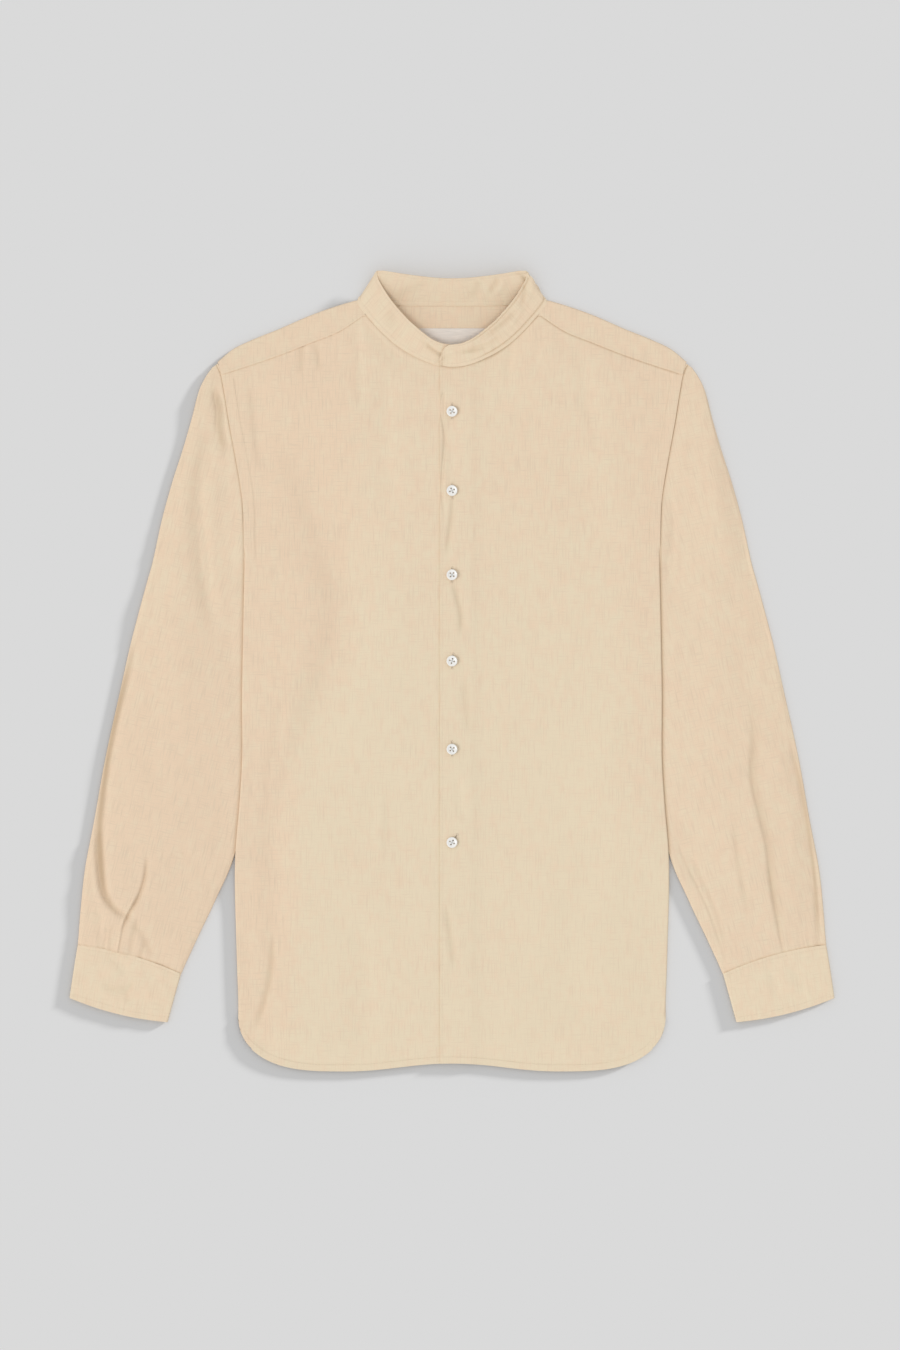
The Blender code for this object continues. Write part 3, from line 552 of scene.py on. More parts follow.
def smoothed(path):
    """The path with its corners rounded."""
    keys = np.arange(len(path))
    fine = np.linspace(0, len(path) - 1, 4 * (len(path) - 1) + 1)
    columns = np.asarray(path, float).T
    return np.stack([smooth_curve(keys, column)(fine) for column in columns], axis=1)


def crease_parts(piece, x, y):
    """Each of the piece's creases: itself, distance from its path, its width and its fade."""
    for crease in CREASES:
        if crease.piece != piece:
            continue
        off, side, share = along_path(smoothed(crease.path), x, y)
        width = np.where(side > 0, crease.left, crease.right)
        yield crease, off, width, ramp(share, 0, 0.25) * ramp(share, 1, 0.75)


def creases(piece, x, y):
    """Height that the piece's creases add."""
    height = np.zeros(x.shape)
    for crease, off, width, fade in crease_parts(piece, x, y):
        height -= crease.depth * fade * np.exp(-(off / width) ** 2)
    return CREASE_STRENGTH * height


def painted_fold_shade(piece, x, y):
    """Painted shade, from 0 to 1, in the piece's sharp folds: the further the cloth is pressed in,
    the browner it is drawn.
    """
    depth = np.zeros(x.shape)
    for crease, off, width, fade in crease_parts(piece, x, y):
        if crease.depth > 0 and crease.right < SHARP_CREASE:
            depth += crease.depth * fade * np.exp(-(off / (0.75 * width + 0.5)) ** 2)
    return np.clip(FOLD_SHARE * depth, 0, 1)


# Cloth meshes

def grid_mesh(name, columns, rows, place, flip=False):
    """A mesh grid.

    place gives the points, in millimetres, and the grain at shares across it, and for a piece
    with painted shade also how much painted shade each point gets, kept as its pressed attribute.
    """
    grid = bmesh.new()
    bmesh.ops.create_grid(grid, x_segments=columns, y_segments=rows, size=0.5)
    mesh = bpy.data.meshes.new(name)
    grid.to_mesh(mesh)
    grid.free()
    spots = np.empty(3 * len(mesh.vertices))
    mesh.vertices.foreach_get("co", spots)
    spots = spots.reshape(-1, 3)
    points, grain, *painted_shade = place(spots[:, 0] + 0.5, spots[:, 1] + 0.5)
    mesh.vertices.foreach_set("co", (points * MM).ravel())
    corners = np.empty(len(mesh.loops), int)
    mesh.loops.foreach_get("vertex_index", corners)
    layer = mesh.uv_layers.new(name="grain")
    layer.data.foreach_set("uv", (grain[corners] * MM).ravel())
    if painted_shade:
        pressed = mesh.attributes.new("pressed", "FLOAT", "POINT")
        pressed.data.foreach_set("value", np.clip(painted_shade[0], 0, 1).astype(np.float32))
    if flip:
        mesh.flip_normals()
    mesh.update()
    return mesh


def crowded(share, shares, places):
    """Move a grid's lines closer together where a piece needs them."""
    return np.interp(share, shares, places)


def rosiness(node, x, y):
    """How rosy, and a little darker, the cloth's tone is, from 0 to 1: most on the sleeves, the
    yoke and the upper chest. Along the right front's side the rosier tone is painted shade.
    """
    if node.startswith("sleeve"):
        return ROSY_PIECES[node] + 0.3 * ramp(y, 60, -60) * ramp(x, 0, -1)
    if not node.startswith("front"):
        return np.full(x.shape, ROSY_PIECES[node])
    chest = 0.35 * ramp(y, -40, 190) + 0.2 * ramp(y, 280, 320) * ramp(x, 40, 80)
    upper_side = 0.6 * ramp(x, -80, -130) * ramp(y, -70, 30)
    lower_side = 0.7 * ramp(x, -135, -180) * ramp(y, -410, -330) * ramp(y, 30, -60)
    left_side = 0.35 * ramp(x, 150, 200) * ramp(y, -180, -100)
    return np.clip(0.15 + chest + upper_side + lower_side + left_side, 0, 0.9)


def add_rosy_tone(mesh, node):
    spots = np.empty(3 * len(mesh.vertices))
    mesh.vertices.foreach_get("co", spots)
    x, y, _ = spots.reshape(-1, 3).T / MM
    rosy = np.clip(rosiness(node, x, y) + 0.12 * soft_noise(x, y, 40.0, 61), 0, 1)
    rosy_tone = mesh.attributes.new("rosy", "FLOAT", "POINT")
    rosy_tone.data.foreach_set("value", rosy.astype(np.float32))


def finish_sheet(name, node, mesh, wall, material):
    """Give a sheet its thickness and rounded edges, and stand it in for its CAD node."""
    mesh.shade_smooth()
    add_rosy_tone(mesh, node)
    mesh.materials.append(material)
    sheet = bpy.data.objects.new(name, mesh)
    bpy.context.scene.collection.objects.link(sheet)
    solidify = sheet.modifiers.new("wall", "SOLIDIFY")
    solidify.thickness = wall * MM
    solidify.offset = 0
    bevel = sheet.modifiers.new("soft_edges", "BEVEL")
    bevel.width = EDGE_ROUND * MM
    bevel.segments = 2
    bevel.limit_method = "ANGLE"
    bevel.angle_limit = math.radians(55)
    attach(sheet, BODY)
    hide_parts(node)
    return sheet


def coons(top, bottom, left, right, across, down):
    """Points inside four edges, each of which gives its points at shares along it."""
    a, d = across[:, None], down[:, None]
    start, end = np.zeros(1), np.ones(1)
    edges = top(across) * (1 - d) + bottom(across) * d + left(down) * (1 - a) + right(down) * a
    corners = (top(start) * (1 - a) * (1 - d) + top(end) * a * (1 - d)
               + bottom(start) * (1 - a) * d + bottom(end) * a * d)
    return edges - corners


def rolled(radius, share, roll):
    """Distance outward and drop along an edge that rolls through a half turn, or runs straight."""
    bent = np.maximum(roll, 0.02)
    bend = radius / bent
    angle = math.pi * bent * share
    return bend * np.sin(angle), bend * (1 - np.cos(angle))


def roll_reach(radius, roll, wall, turns=1.0):
    """How far out a rolled edge stands past the line where it starts to roll."""
    share = np.minimum(turns, 0.5 / np.maximum(roll, 0.5))
    return rolled(radius, share, roll)[0] + wall / 2 * roll


def side_roll(y):
    """1 where a front's side edge rolls down to the back panel, 0 where the edge is free."""
    return ramp(y, *SIDE_ROLL_TOP) * ramp(y, *SIDE_ROLL_LOW)


# Front panels

def front_level(piece, x, y):
    """Middle of a front panel's wall, with its creases."""
    half = np.abs(x)
    from_side = side_x(y) - half
    from_hem = y - hem_y(x)
    from_top = panel_top_y(half) - y
    loft = (FRONT_LOFT * ramp(from_side, 0, LOFT_SIDE_RUN) * ramp(from_hem, 0, LOFT_HEM_RUN)
            * ramp(from_top, 0, LOFT_TOP_RUN))
    edge_calm = ramp(from_side, 0, 14) * ramp(from_hem, 2, 16)
    loose = slack(x, y) * edge_calm * ramp(from_top, 0, 9) + creases(piece, x, y)
    loose += puckers(x, np.maximum(from_top, 0)) * ramp(half, 70, 95)
    loose += 0.6 * puckers(y, np.maximum(from_side, 0), 3) * ramp(y, 110, 150)
    level = FRONT_MID + tuck_lift(x, y, TUCK_SPREAD[piece])
    level += np.maximum(loft + loose, -FRONT_HOLLOW)
    level += HEM_RISE * ramp(from_hem, HEM_DEPTH + EDGE_STEP, HEM_DEPTH)
    fell = ramp(from_side, FELL_WIDTH + EDGE_STEP, FELL_WIDTH) * ramp(y, 96, 130)
    level += FELL_RISE * fell
    dip = SEAM_DIP * ramp(from_top, SEAM_DIP_RUN, 0)
    if piece == "front_left":
        level += LAP_RISE * ramp(x, LAP_RAMP[1], LAP_RAMP[0])
        level += FACING_RISE * ramp(x, FACING_X + 1, FACING_X)
    else:
        dip = dip + UNDERLAP_DIP * ramp(x, -LAP + 1.5, -LAP + 6)
    return level - dip


def front_mesh(name, side):
    """Fine grid of a front panel, with its side edge rolled down towards the back."""
    columns, rows, roll_columns = 136, 300, 8
    flat_share = 1 - roll_columns / columns
    hem_end = side_x(CORNER_Y) - SEAM_GAP - math.pi * ROLL
    side_low = hem_y(hem_end)
    top_end = side_x(YOKE_SEAM[-1].y) - SEAM_GAP - math.pi * ROLL
    first, last = -LAP, YOKE_SEAM[-1].x

    def stretched(across, end):
        x = blend(first, last, across)
        beyond = (end - NECK_CORNER_X) / (last - NECK_CORNER_X)
        return np.minimum(x, NECK_CORNER_X) + np.maximum(0, x - NECK_CORNER_X) * beyond

    def side_point(down):
        y = blend(YOKE_SEAM[-1].y + SEAM_OVERLAP, side_low, down)
        roll = side_roll(y)
        reach = roll_reach(ROLL, roll, PART_WALL) - SEAM_OVERLAP / 3 * (1 - roll)
        return np.stack([side_x(np.maximum(y, CORNER_Y)) - reach, y], axis=1)

    def top_point(across):
        x = stretched(across, top_end)
        return np.stack([x, panel_top_y(x) + SEAM_OVERLAP], axis=1)

    def hem_point(across):
        x = stretched(across, hem_end)
        return np.stack([x, hem_y(x)], axis=1)

    def centre_point(down):
        ends = top_point(np.zeros(1))[0, 1], hem_point(np.zeros(1))[0, 1]
        return np.stack([np.full(down.shape, first), blend(*ends, down)], axis=1)

    def place(across, down):
        down = crowded(down, (0, 0.05, 0.94, 1), (0, 0.018, 0.978, 1))
        flat = np.minimum(across / flat_share, 1)
        flat = crowded(flat, (0, 0.10, 0.9, 1), (0, 0.05, 0.93, 1))
        roll_share = np.clip((across - flat_share) / (1 - flat_share), 0, 1)
        spots = coons(top_point, hem_point, centre_point, side_point, flat, down)
        x, y = spots[:, 0], spots[:, 1]
        z = front_level(name, side * x, y)
        out, drop = rolled(ROLL, roll_share, side_roll(y))
        grain = np.stack([side * (x + math.pi * ROLL * roll_share), y], axis=1)
        x = x + out
        y = np.where(roll_share > 0, np.maximum(y, hem_y(x)), y)
        # Painted shade in a line beside the neck seam, stronger on the wearer's left, and in the
        # front's sharp folds.
        seam = NECK_PAINTED_SHADE[side] * ramp(panel_top_y(x) - y, 3.0, 0.8) * ramp(x, 20, 45)
        painted_shade = np.maximum(painted_fold_shade(name, side * x, y), seam) * (roll_share == 0)
        return np.stack([side * x, y, z - drop], axis=1), grain, painted_shade

    return grid_mesh(name, columns, rows, place, flip=side > 0)


# Back and yoke

def back_mesh():
    """Fine grid of the back panel, from the yoke's back seam to the hem."""
    columns, rows = 112, 168

    def half_width(y):
        behind_roll = ramp(y, *BACK_INSET_TOP)
        return side_x(y) - SEAM_GAP - behind_roll * (ROLL + PART_WALL / 2 + SEAM_GAP)

    def place(across, down):
        share = 2 * across - 1
        side_y = blend(YOKE_BACK_Y + SEAM_OVERLAP, CORNER_Y, down)
        x = share * half_width(side_y)
        low = hem_y(share * half_width(np.full(1, CORNER_Y))) + 2
        y = blend(YOKE_BACK_Y + SEAM_OVERLAP, low, down)
        from_side = half_width(side_y) - np.abs(x)
        calm = ramp(from_side, 2, 25) * ramp(down, 1, 0.93) * ramp(down, 0, 0.05)
        loose = SLACK_UNDER * slack(x, y, SEEDS["back"]) + creases("back", x, y)
        z = BACK_MID + tuck_lift(x, y) + np.maximum(0, loose) * calm
        z = z + 0.2 * ramp(down, 0.012, 0)
        return np.stack([x, y, z], axis=1), np.stack([x, y], axis=1)

    return grid_mesh("back", columns, rows, place)


def shoulder_fold(x):
    """Where the yoke starts to roll over at the shoulder, and the way out from there."""
    slope = (shoulder_y(x + 1) - shoulder_y(x - 1)) / 2
    outward = np.stack([-slope, np.ones_like(x)], axis=1)
    outward /= np.linalg.norm(outward, axis=1)[:, None]
    edge = np.stack([x, shoulder_y(x)], axis=1)
    return edge - outward * (ROLL + PART_WALL / 2), outward


def yoke_mesh():
    """The yoke: its back part, and a strip over each shoulder down to the front seam."""
    neck_columns, shoulder_columns, back_rows = 64, 48, 34
    roll_rows, strip_rows = 12, 14
    columns = neck_columns + 2 * shoulder_columns
    outermost = SHOULDER_LINE[-1].x - 0.9
    seam_end = YOKE_SEAM[-1].x - SEAM_GAP / 2
    stops = np.array([0, shoulder_columns, shoulder_columns + neck_columns, columns]) / columns
    places = (-outermost, -YOKE_NECK_X, YOKE_NECK_X, outermost)

    def place_back(across, up):
        x = np.interp(across, stops, places)
        half = np.abs(x)
        low = np.stack([x * (side_x(YOKE_BACK_Y) - SEAM_GAP) / outermost,
                        np.full(x.shape, YOKE_BACK_Y)], axis=1)
        neck = np.stack([x, back_neck_seam_y(half) - BAND_PART_WALL / 2 + SEAM_OVERLAP], axis=1)
        fold, _ = shoulder_fold(half)
        fold[:, 0] = np.copysign(fold[:, 0], x)
        high = np.where((half < YOKE_NECK_X - 0.001)[:, None], neck, fold)
        spots = blend(low, high, up[:, None])
        side = side_x(spots[:, 1]) - SEAM_GAP
        spots[:, 0] = np.clip(spots[:, 0], -side, side)
        calm = ramp(up, 0, 0.1) * ramp(up, 1, 0.9) * ramp(side - np.abs(spots[:, 0]), 1, 10)
        loose = SLACK_UNDER * slack(spots[:, 0], spots[:, 1], SEEDS["yoke"])
        loose += creases("yoke", spots[:, 0], spots[:, 1])
        z = BACK_MID + np.maximum(0, loose) * calm
        return np.column_stack([spots, z]), spots.copy()

    def place_strip(side):
        def place(across, down):
            x = blend(YOKE_NECK_X, outermost, across)
            share = down * (roll_rows + strip_rows)
            fold, outward = shoulder_fold(x)
            out, rise = rolled(ROLL, np.minimum(1, share / roll_rows), 1.0)
            seam_x = blend(NECK_CORNER_X - 1.0, seam_end, across)
            seam = np.stack([seam_x, panel_top_y(seam_x) - SEAM_OVERLAP / 3], axis=1)
            run = np.clip((share - roll_rows) / strip_rows, 0, 1)[:, None]
            spots = blend(fold, seam, run) + outward * out[:, None] * (run == 0)
            away = np.linalg.norm(spots - seam, axis=1)
            from_side = side_x(spots[:, 1]) - spots[:, 0]
            calm = ramp(run[:, 0], 0, 0.3)
            loose = 0.6 * slack(side * spots[:, 0], spots[:, 1], SEEDS["shoulders"])
            loose *= ramp(away, 0, 8)
            loose += 0.7 * puckers(spots[:, 0], away, 7 if side > 0 else 9)
            fell = ramp(from_side, FELL_WIDTH + EDGE_STEP, FELL_WIDTH)
            lift = YOKE_EDGE_RISE * ramp(away, 9, 0) + FELL_RISE * fell
            z = BACK_MID + rise + (np.maximum(loose, -0.5) + lift) * calm
            grain = np.stack([side * spots[:, 0], spots[:, 1] + 2 * math.pi * out], axis=1)
            return np.column_stack([side * spots[:, 0], spots[:, 1], z]), grain
        return place

    mesh = grid_mesh("yoke", columns, back_rows, place_back)
    whole = bmesh.new()
    whole.from_mesh(mesh)
    for side in (1, -1):
        strip = grid_mesh("strip", shoulder_columns, roll_rows + strip_rows, place_strip(side))
        whole.from_mesh(strip)
        bpy.data.meshes.remove(strip)
    bmesh.ops.remove_doubles(whole, verts=whole.verts, dist=MERGE_DISTANCE)
    bmesh.ops.recalc_face_normals(whole, faces=whole.faces)
    whole.to_mesh(mesh)
    whole.free()
    return mesh


# Sleeves and cuffs

Ring = namedtuple("Ring", "quarter top turn bottom")


def tube_mesh(name, sections, ring, rows, fold_radius, low, wall, open_end, shape_top, painted_shade_at,
              side, tucked=np.zeros_like, overlap=0.0, pressed=None, close_rows=(0.5, 0.5)):
    """Fine grid of a flattened tube.

    open_end says how far the ring's inner edge is open at a height, and tucked how far it goes
    under the armpit. shape_top gives what the top layer adds at a point and its shares across
    and along, and pressed the share of its thickness that the tube keeps at a point. The tube's
    end runs under the next piece by the overlap. After the first share of close_rows, which lies
    at its second share of the length, the rows are closer together. painted_shade_at gives the
    painted shade on the top at a point: in its sharp folds and, on a sleeve, beside its seams.
    """
    columns = 2 * ring.quarter + ring.top + ring.turn + ring.bottom
    keys = np.arange(len(sections))
    curves = [smooth_curve(keys, column) for column in np.array(sections).T]
    top_start = ring.quarter
    turn_start = top_start + ring.top
    bottom_start = turn_start + ring.turn
    quarter_start = bottom_start + ring.bottom
    start_outer = np.array([sections[0].outer_x, sections[0].outer_y])
    end_outer = np.array([sections[-1].outer_x, sections[-1].outer_y])
    reach = np.linalg.norm(end_outer - start_outer)
    heading = (end_outer - start_outer) / reach

    def place(around, along):
        step = around * columns
        along = crowded(along, (0, close_rows[0], 1), (0, close_rows[1], 1))
        inner_x, inner_y, outer_x, outer_y, bow, fullness = (
            curve(along * (len(sections) - 1)) for curve in curves)
        shut = 1 - open_end(inner_y)
        inner_x = inner_x - ARMPIT_TUCK * tucked(inner_y)
        run_x, run_y = outer_x - inner_x, outer_y - inner_y
        width = np.hypot(run_x, run_y)
        start = roll_reach(fold_radius, shut, wall, 0.5) - SEAM_OVERLAP * (1 - shut)
        end = width - fold_radius - wall / 2
        high = low + 2 * fold_radius
        on_top = np.clip((step - top_start) / ring.top, 0, 1)
        on_bottom = np.clip((step - bottom_start) / ring.bottom, 0, 1)
        turn = np.clip((step - turn_start) / ring.turn, 0, 1)
        first = np.clip((top_start - step) / ring.quarter, 0, 1) / 2
        final = np.clip((step - quarter_start) / ring.quarter, 0, 1) / 2
        turn_out, turn_drop = rolled(fold_radius, turn, np.ones_like(turn))
        first_out, first_drop = rolled(fold_radius, first, shut)
        final_out, final_drop = rolled(fold_radius, final, shut)
        above = step <= bottom_start
        distance = np.where(step <= turn_start, blend(start, end, on_top), end)
        distance = np.where(above, distance + turn_out, blend(end, start, on_bottom))
        distance -= np.where(step < top_start, first_out, 0)
        distance -= np.where(step > quarter_start, final_out, 0)
        share = distance / width
        sag = bow * 4 * share * (1 - share)
        x = inner_x + run_x * share + run_y / width * sag
        y = inner_y + run_y * share - run_x / width * sag
        z = np.where(above, high - turn_drop, low)
        z = z - np.where(step < top_start, first_drop, 0)
        z = z + np.where(step > quarter_start, final_drop, 0)
        flat_top = ramp(step, top_start, top_start + 2) * ramp(step, turn_start, turn_start - 3)
        if pressed:
            z = low + (z - low) * pressed(x, y)
        z = z + flat_top * shape_top(side * x, y, share, fullness, along)
        tail = overlap * ramp(along, 0.98, 1)
        x = x + tail * heading[0]
        y = y + tail * heading[1]
        fold_x, fold_y = inner_x + run_x * end / width, inner_y + run_y * end / width
        past_fold = np.where(above, distance - turn_out - end + math.pi * fold_radius * turn,
                             math.pi * fold_radius + end - distance)
        grain_x = -fold_x * heading[1] + fold_y * heading[0] + past_fold
        grain = np.stack([side * grain_x, -(x * heading[0] + y * heading[1])], axis=1)
        painted_shade = painted_shade_at(side * x, y, along) * (above & (step >= top_start - 1))
        return np.stack([side * x, y, z], axis=1), grain, painted_shade

    mesh = grid_mesh(name, columns, rows, place)
    tube = bmesh.new()
    tube.from_mesh(mesh)
    bmesh.ops.remove_doubles(tube, verts=tube.verts, dist=MERGE_DISTANCE)
    bmesh.ops.recalc_face_normals(tube, faces=tube.faces)
    tube.to_mesh(mesh)
    tube.free()
    return mesh


def sleeve_mesh(name, side):
    seed = SEEDS[name]

    def open_end(inner_y):
        return ramp(inner_y, *ARMHOLE_OPEN)

    def tucked(inner_y):
        return ramp(inner_y, *ARMPIT_TOP) * ramp(inner_y, *ARMPIT_LOW)

    def past_body_edge(x, y):
        return np.abs(x) - side_x(np.maximum(y, TAIL_Y))

    def pressed(x, y):
        under = ramp(past_body_edge(x, y), 0.3, -1.5)
        under *= ramp(y, *PRESSED_TOP) * ramp(y, *PRESSED_LOW)
        return 1 - (1 - SLEEVE_PRESS) * under

    def shape_top(x, y, share, fullness, along):
        past_body = np.where(y > TUCK_EDGE[-1].y, past_body_edge(x, y),
                             share * TUBE_ACROSS)
        clear = ramp(past_body, 0, COVER_RUN)
        crown = fullness * clear * ramp(share, 1, 1 - CROWN_RUN)
        from_cuff = (1 - along) * SLEEVE_RUN
        loose = SLACK_ON_SLEEVE * slack(x, y, seed) * ramp(past_body, 2, 14)
        loose += 1.2 * puckers(share * TUBE_ACROSS, from_cuff, seed) + creases(name, x, y)
        near_body = ramp(past_body, 0.5, 5) * ramp(share, 1.0, 0.98)
        dip = (ARMHOLE_DIP[side] * ramp(past_body, 2, 0) * open_end(y)
               + CUFF_SEAM_DIP * ramp(from_cuff, SEAM_DIP_RUN, 0))
        rise = (SLEEVE_HEAD_RISE * open_end(y) * ramp(past_body, 30, 2)
                + SLEEVE_SIDE_RISE[side] * (1 - open_end(y)) * ramp(past_body, 0, 3)
                + TUCK_LIFT * ramp(y, *reversed(TUCK_TOP)) * ramp(y, 104, 124)
                * ramp(past_body, 25, 0))
        return np.maximum(crown + loose * near_body, -SLEEVE_HOLLOW) + rise - dip

    # Painted shade: in the sleeve's sharp folds, in a line beside the body's side, and beside the
    # cuff's seam.
    def painted_shade_at(x, y, along):
        past_body = np.where(y > TUCK_EDGE[-1].y, past_body_edge(x, y), 100)
        seam = SIDE_PAINTED_SHADE[side] * ramp(past_body, 3.2, 1.2)
        cuff_seam_shade = CUFF_PAINTED_SHADE * ramp((1 - along) * SLEEVE_RUN, 2.6, 0.8)
        return painted_fold_shade(name, x, y) + np.maximum(seam, cuff_seam_shade)

    return tube_mesh(name, SLEEVE_SECTIONS, Ring(3, 128, 10, 18), 236, SLEEVE_ROLL, TUBE_LOW,
                     PART_WALL, open_end, shape_top, painted_shade_at, side, tucked, SEAM_OVERLAP,
                     pressed, close_rows=(0.6, 0.75))


def cuff_mesh(name, side):
    seed = SEEDS[name]

    def closed(inner_y):
        return np.zeros_like(inner_y)

    def shape_top(x, y, share, fullness, along):
        crown = fullness * 4 * share * (1 - share)
        loose = 0.5 * slack(x, y, seed) + creases(name, x, y)
        loose += sum(c.height * (0.5 - np.abs(soft_noise(x, y, c.size, c.seed)) ** 0.7)
                     for c in CUFF_CRUMPLES)
        below_seam, above_edge = along * CUFF_DEPTH, (1 - along) * CUFF_DEPTH
        loose += 0.35 * puckers(share * TUBE_ACROSS, below_seam, seed)
        loose += 0.35 * puckers(share * TUBE_ACROSS + 40, above_edge, seed)
        groove = 0.16 * (np.exp(-((below_seam - 3.2) / 0.9) ** 2)
                         + np.exp(-((above_edge - 5.5) / 0.9) ** 2))
        edge = 0.22 * ramp(along, 0.05, 0)
        calm = ramp(share, 0, 0.06) * ramp(share, 1, 0.94)
        return np.maximum(crown + loose * calm - groove + edge, -0.3)

    # Painted shade in the cuff's sharp folds.
    def painted_shade_at(x, y, along):
        return painted_fold_shade(name, x, y)

    return tube_mesh(name, CUFF_SECTIONS, Ring(4, 76, 10, 34), 44, CUFF_ROLL, CUFF_LOW,
                     CUFF_PART_WALL, closed, shape_top, painted_shade_at, side)


# Collar band

def band_curves():
    """Curves of the band's cross-section all the way round, by its seam's length.

    It starts at the right end, under the lap, and goes round the back to the left end.
    """
    def at_lap(past):
        centre, beyond = BAND_STATIONS[0], BAND_STATIONS[1]
        share = (past / beyond.seam_x) ** 2
        seam_y = blend(centre.seam_y, beyond.seam_y, share)
        top_y = blend(centre.top_y, beyond.top_y, share)
        return Station(-past, seam_y, centre.seam_z, -past, top_y, centre.top_z)

    half = [(at_lap(lap.past_centre), lap.height) for lap in reversed(BAND_END)]
    half += [(station, 1.0) for station in BAND_STATIONS]
    rows = []
    for station, height in half:
        rows.append([-station.seam_x, station.seam_y, station.seam_z,
                     -station.top_x, station.top_y, station.top_z, height])
    for station, height in reversed(half[:-1]):
        lift = BAND_LAP_RISE * float(ramp(station.seam_x, BAND_LAP_RUN, LAP))
        lift *= station.seam_y < BAND_LAP_TOP_Y
        rows.append([station.seam_x, station.seam_y, station.seam_z + lift,
                     station.top_x, station.top_y, station.top_z + lift, height])
    rows = np.array(rows)
    lengths = np.linalg.norm(np.diff(rows[:, :2], axis=0), axis=1)
    keys = np.concatenate(([0], np.cumsum(lengths)))
    return [smooth_curve(keys, column) for column in rows.T], keys[-1]


band_columns, band_length = band_curves()


def band_points(around, up):
    """Middle of the band's wall, without creases, at distances round it and shares up it."""
    seam_x, seam_y, seam_z, top_x, top_y, top_z, height = (
        curve(around) for curve in band_columns)
    share = up * height
    seam = np.stack([seam_x, seam_y, seam_z], axis=1)
    top = np.stack([top_x, top_y, top_z], axis=1)
    points = blend(seam, top, share[:, None])
    points[:, 2] += BAND_SEAM_RISE * ramp(share, 0.22, 0.02)
    return points


def band_outward(around, up):
    """Unit normals of the band, away from the neck."""
    step = 0.6
    along = band_points(around + step, up) - band_points(around - step, up)
    rise = band_points(around, up + 0.03) - band_points(around, up - 0.03)
    normal = np.cross(rise, along)
    normal /= np.linalg.norm(normal, axis=1)[:, None]
    return normal * np.sign(normal[:, 2:3] + 1e-9)


def band_along(around):
    """Distance from the centre front, + the wearer's left way round."""
    from_centre = around - LAP
    left_way = band_length - around - LAP
    return np.where(left_way < from_centre, left_way, -from_centre)


def band_tightness(around):
    along = band_along(around)
    return 1 + BAND_TIGHT * ramp(along, 14, 45) * ramp(along, 150, 118)


def band_creases(around, up, folds_only=False):
    """Height that the band's creases add, or how far they press it in."""
    along = band_along(around)
    height = np.zeros(along.shape)
    for crease in BAND_CREASES:
        if folds_only and crease.depth < 0:
            continue
        path = ((crease.start, crease.start_height * BAND_HEIGHT),
                (crease.end, crease.end_height * BAND_HEIGHT))
        off, _, share = along_path(path, along, up * BAND_HEIGHT)
        fade = ramp(share, 0, 0.3) * ramp(share, 1, 0.7)
        depth = BAND_CREASE_STRENGTH * crease.depth * np.maximum(fade, 0.25)
        height -= depth * np.exp(-(off / crease.width) ** 2)
    return height


def band_painted_shade(around, up):
    """Painted shade on the band, from 0 to 1: in its pressed folds, beside its stitch rows where it
    puckers most, and beside its left end's stitching.
    """
    creased = -0.22 * band_creases(around, up, folds_only=True)
    tight = (band_tightness(around) - 1) / BAND_TIGHT
    above_seam, below_top = up * BAND_HEIGHT, (1 - up) * BAND_HEIGHT
    seam = 0.55 * tight * np.exp(-((above_seam - EDGE_STITCH) / 1.0) ** 2)
    top = 0.3 * tight * np.exp(-((below_top - EDGE_STITCH) / 0.9) ** 2)
    end = 0.5 * np.exp(-((band_length - around - EDGE_STITCH) / 0.9) ** 2)
    return creased + seam + top + end


def band_relief(around, up):
    """Creases of the band, outward from its middle."""
    above_seam, below_top = up * BAND_HEIGHT, (1 - up) * BAND_HEIGHT
    height = SLACK_ON_BAND * slack(around, above_seam, SEEDS["band"])
    height += band_creases(around, up)
    tight = band_tightness(around)
    height += tight * (0.5 * puckers(around, above_seam, SEEDS["band_seam"])
                       + 0.3 * puckers(around, below_top, SEEDS["band_top"]))
    calm = ramp(up, -0.08, 0.1) * ramp(around, 0, 8) * ramp(around, band_length, band_length - 8)
    groove = 0.22 * tight * (np.exp(-((above_seam - EDGE_STITCH) / 0.8) ** 2)
                             + np.exp(-((below_top - EDGE_STITCH) / 0.8) ** 2))
    end_groove = 0.45 * sum(np.exp(-((band_length - around - inset) / 0.9) ** 2)
                           for inset in (EDGE_STITCH, 2.2 * EDGE_STITCH))
    underlap = 0.9 * ramp(around, 2 * LAP + 8, 2 * LAP - 2)
    return height * calm - groove - end_groove - underlap


def band_mesh():
    columns, rows = 330, 40

    def place(across, down):
        down = crowded(down, (0, 0.35, 0.7, 1), (0, 0.24, 0.82, 1))
        around = crowded(across, (0, 0.06, 0.94, 1), (0, 0.035, 0.965, 1)) * band_length
        up = blend(-0.06, 1, down)
        points = band_points(around, up)
        points += band_outward(around, up) * band_relief(around, up)[:, None]
        grain = np.stack([around, BAND_HEIGHT * up], axis=1)
        return points, grain, band_painted_shade(around, up)

    return grid_mesh("collar_band", columns, rows, place)


# Neck label

def label_mesh():
    columns, rows = 46, 18
    base = BACK_MID + PART_WALL / 2 + SEAM_GAP + LABEL_CLEAR

    def place(across, down):
        x = blend(LABEL_LOW[0], LABEL_HIGH[0], across)
        y = blend(LABEL_LOW[1], LABEL_HIGH[1], down)
        hem = 0.12 * (ramp(down, 0.9, 0.93) + ramp(across, 0.035, 0.02) + ramp(across, 0.965, 0.98))
        z = base + 0.35 * ramp(down, 1, 0.5) * (1 + soft_noise(x, y, 18.0, 5)) / 2 + hem
        return np.stack([x, y, z], axis=1), np.stack([x, y], axis=1)

    return grid_mesh("neck_label", columns, rows, place)


# Sewing

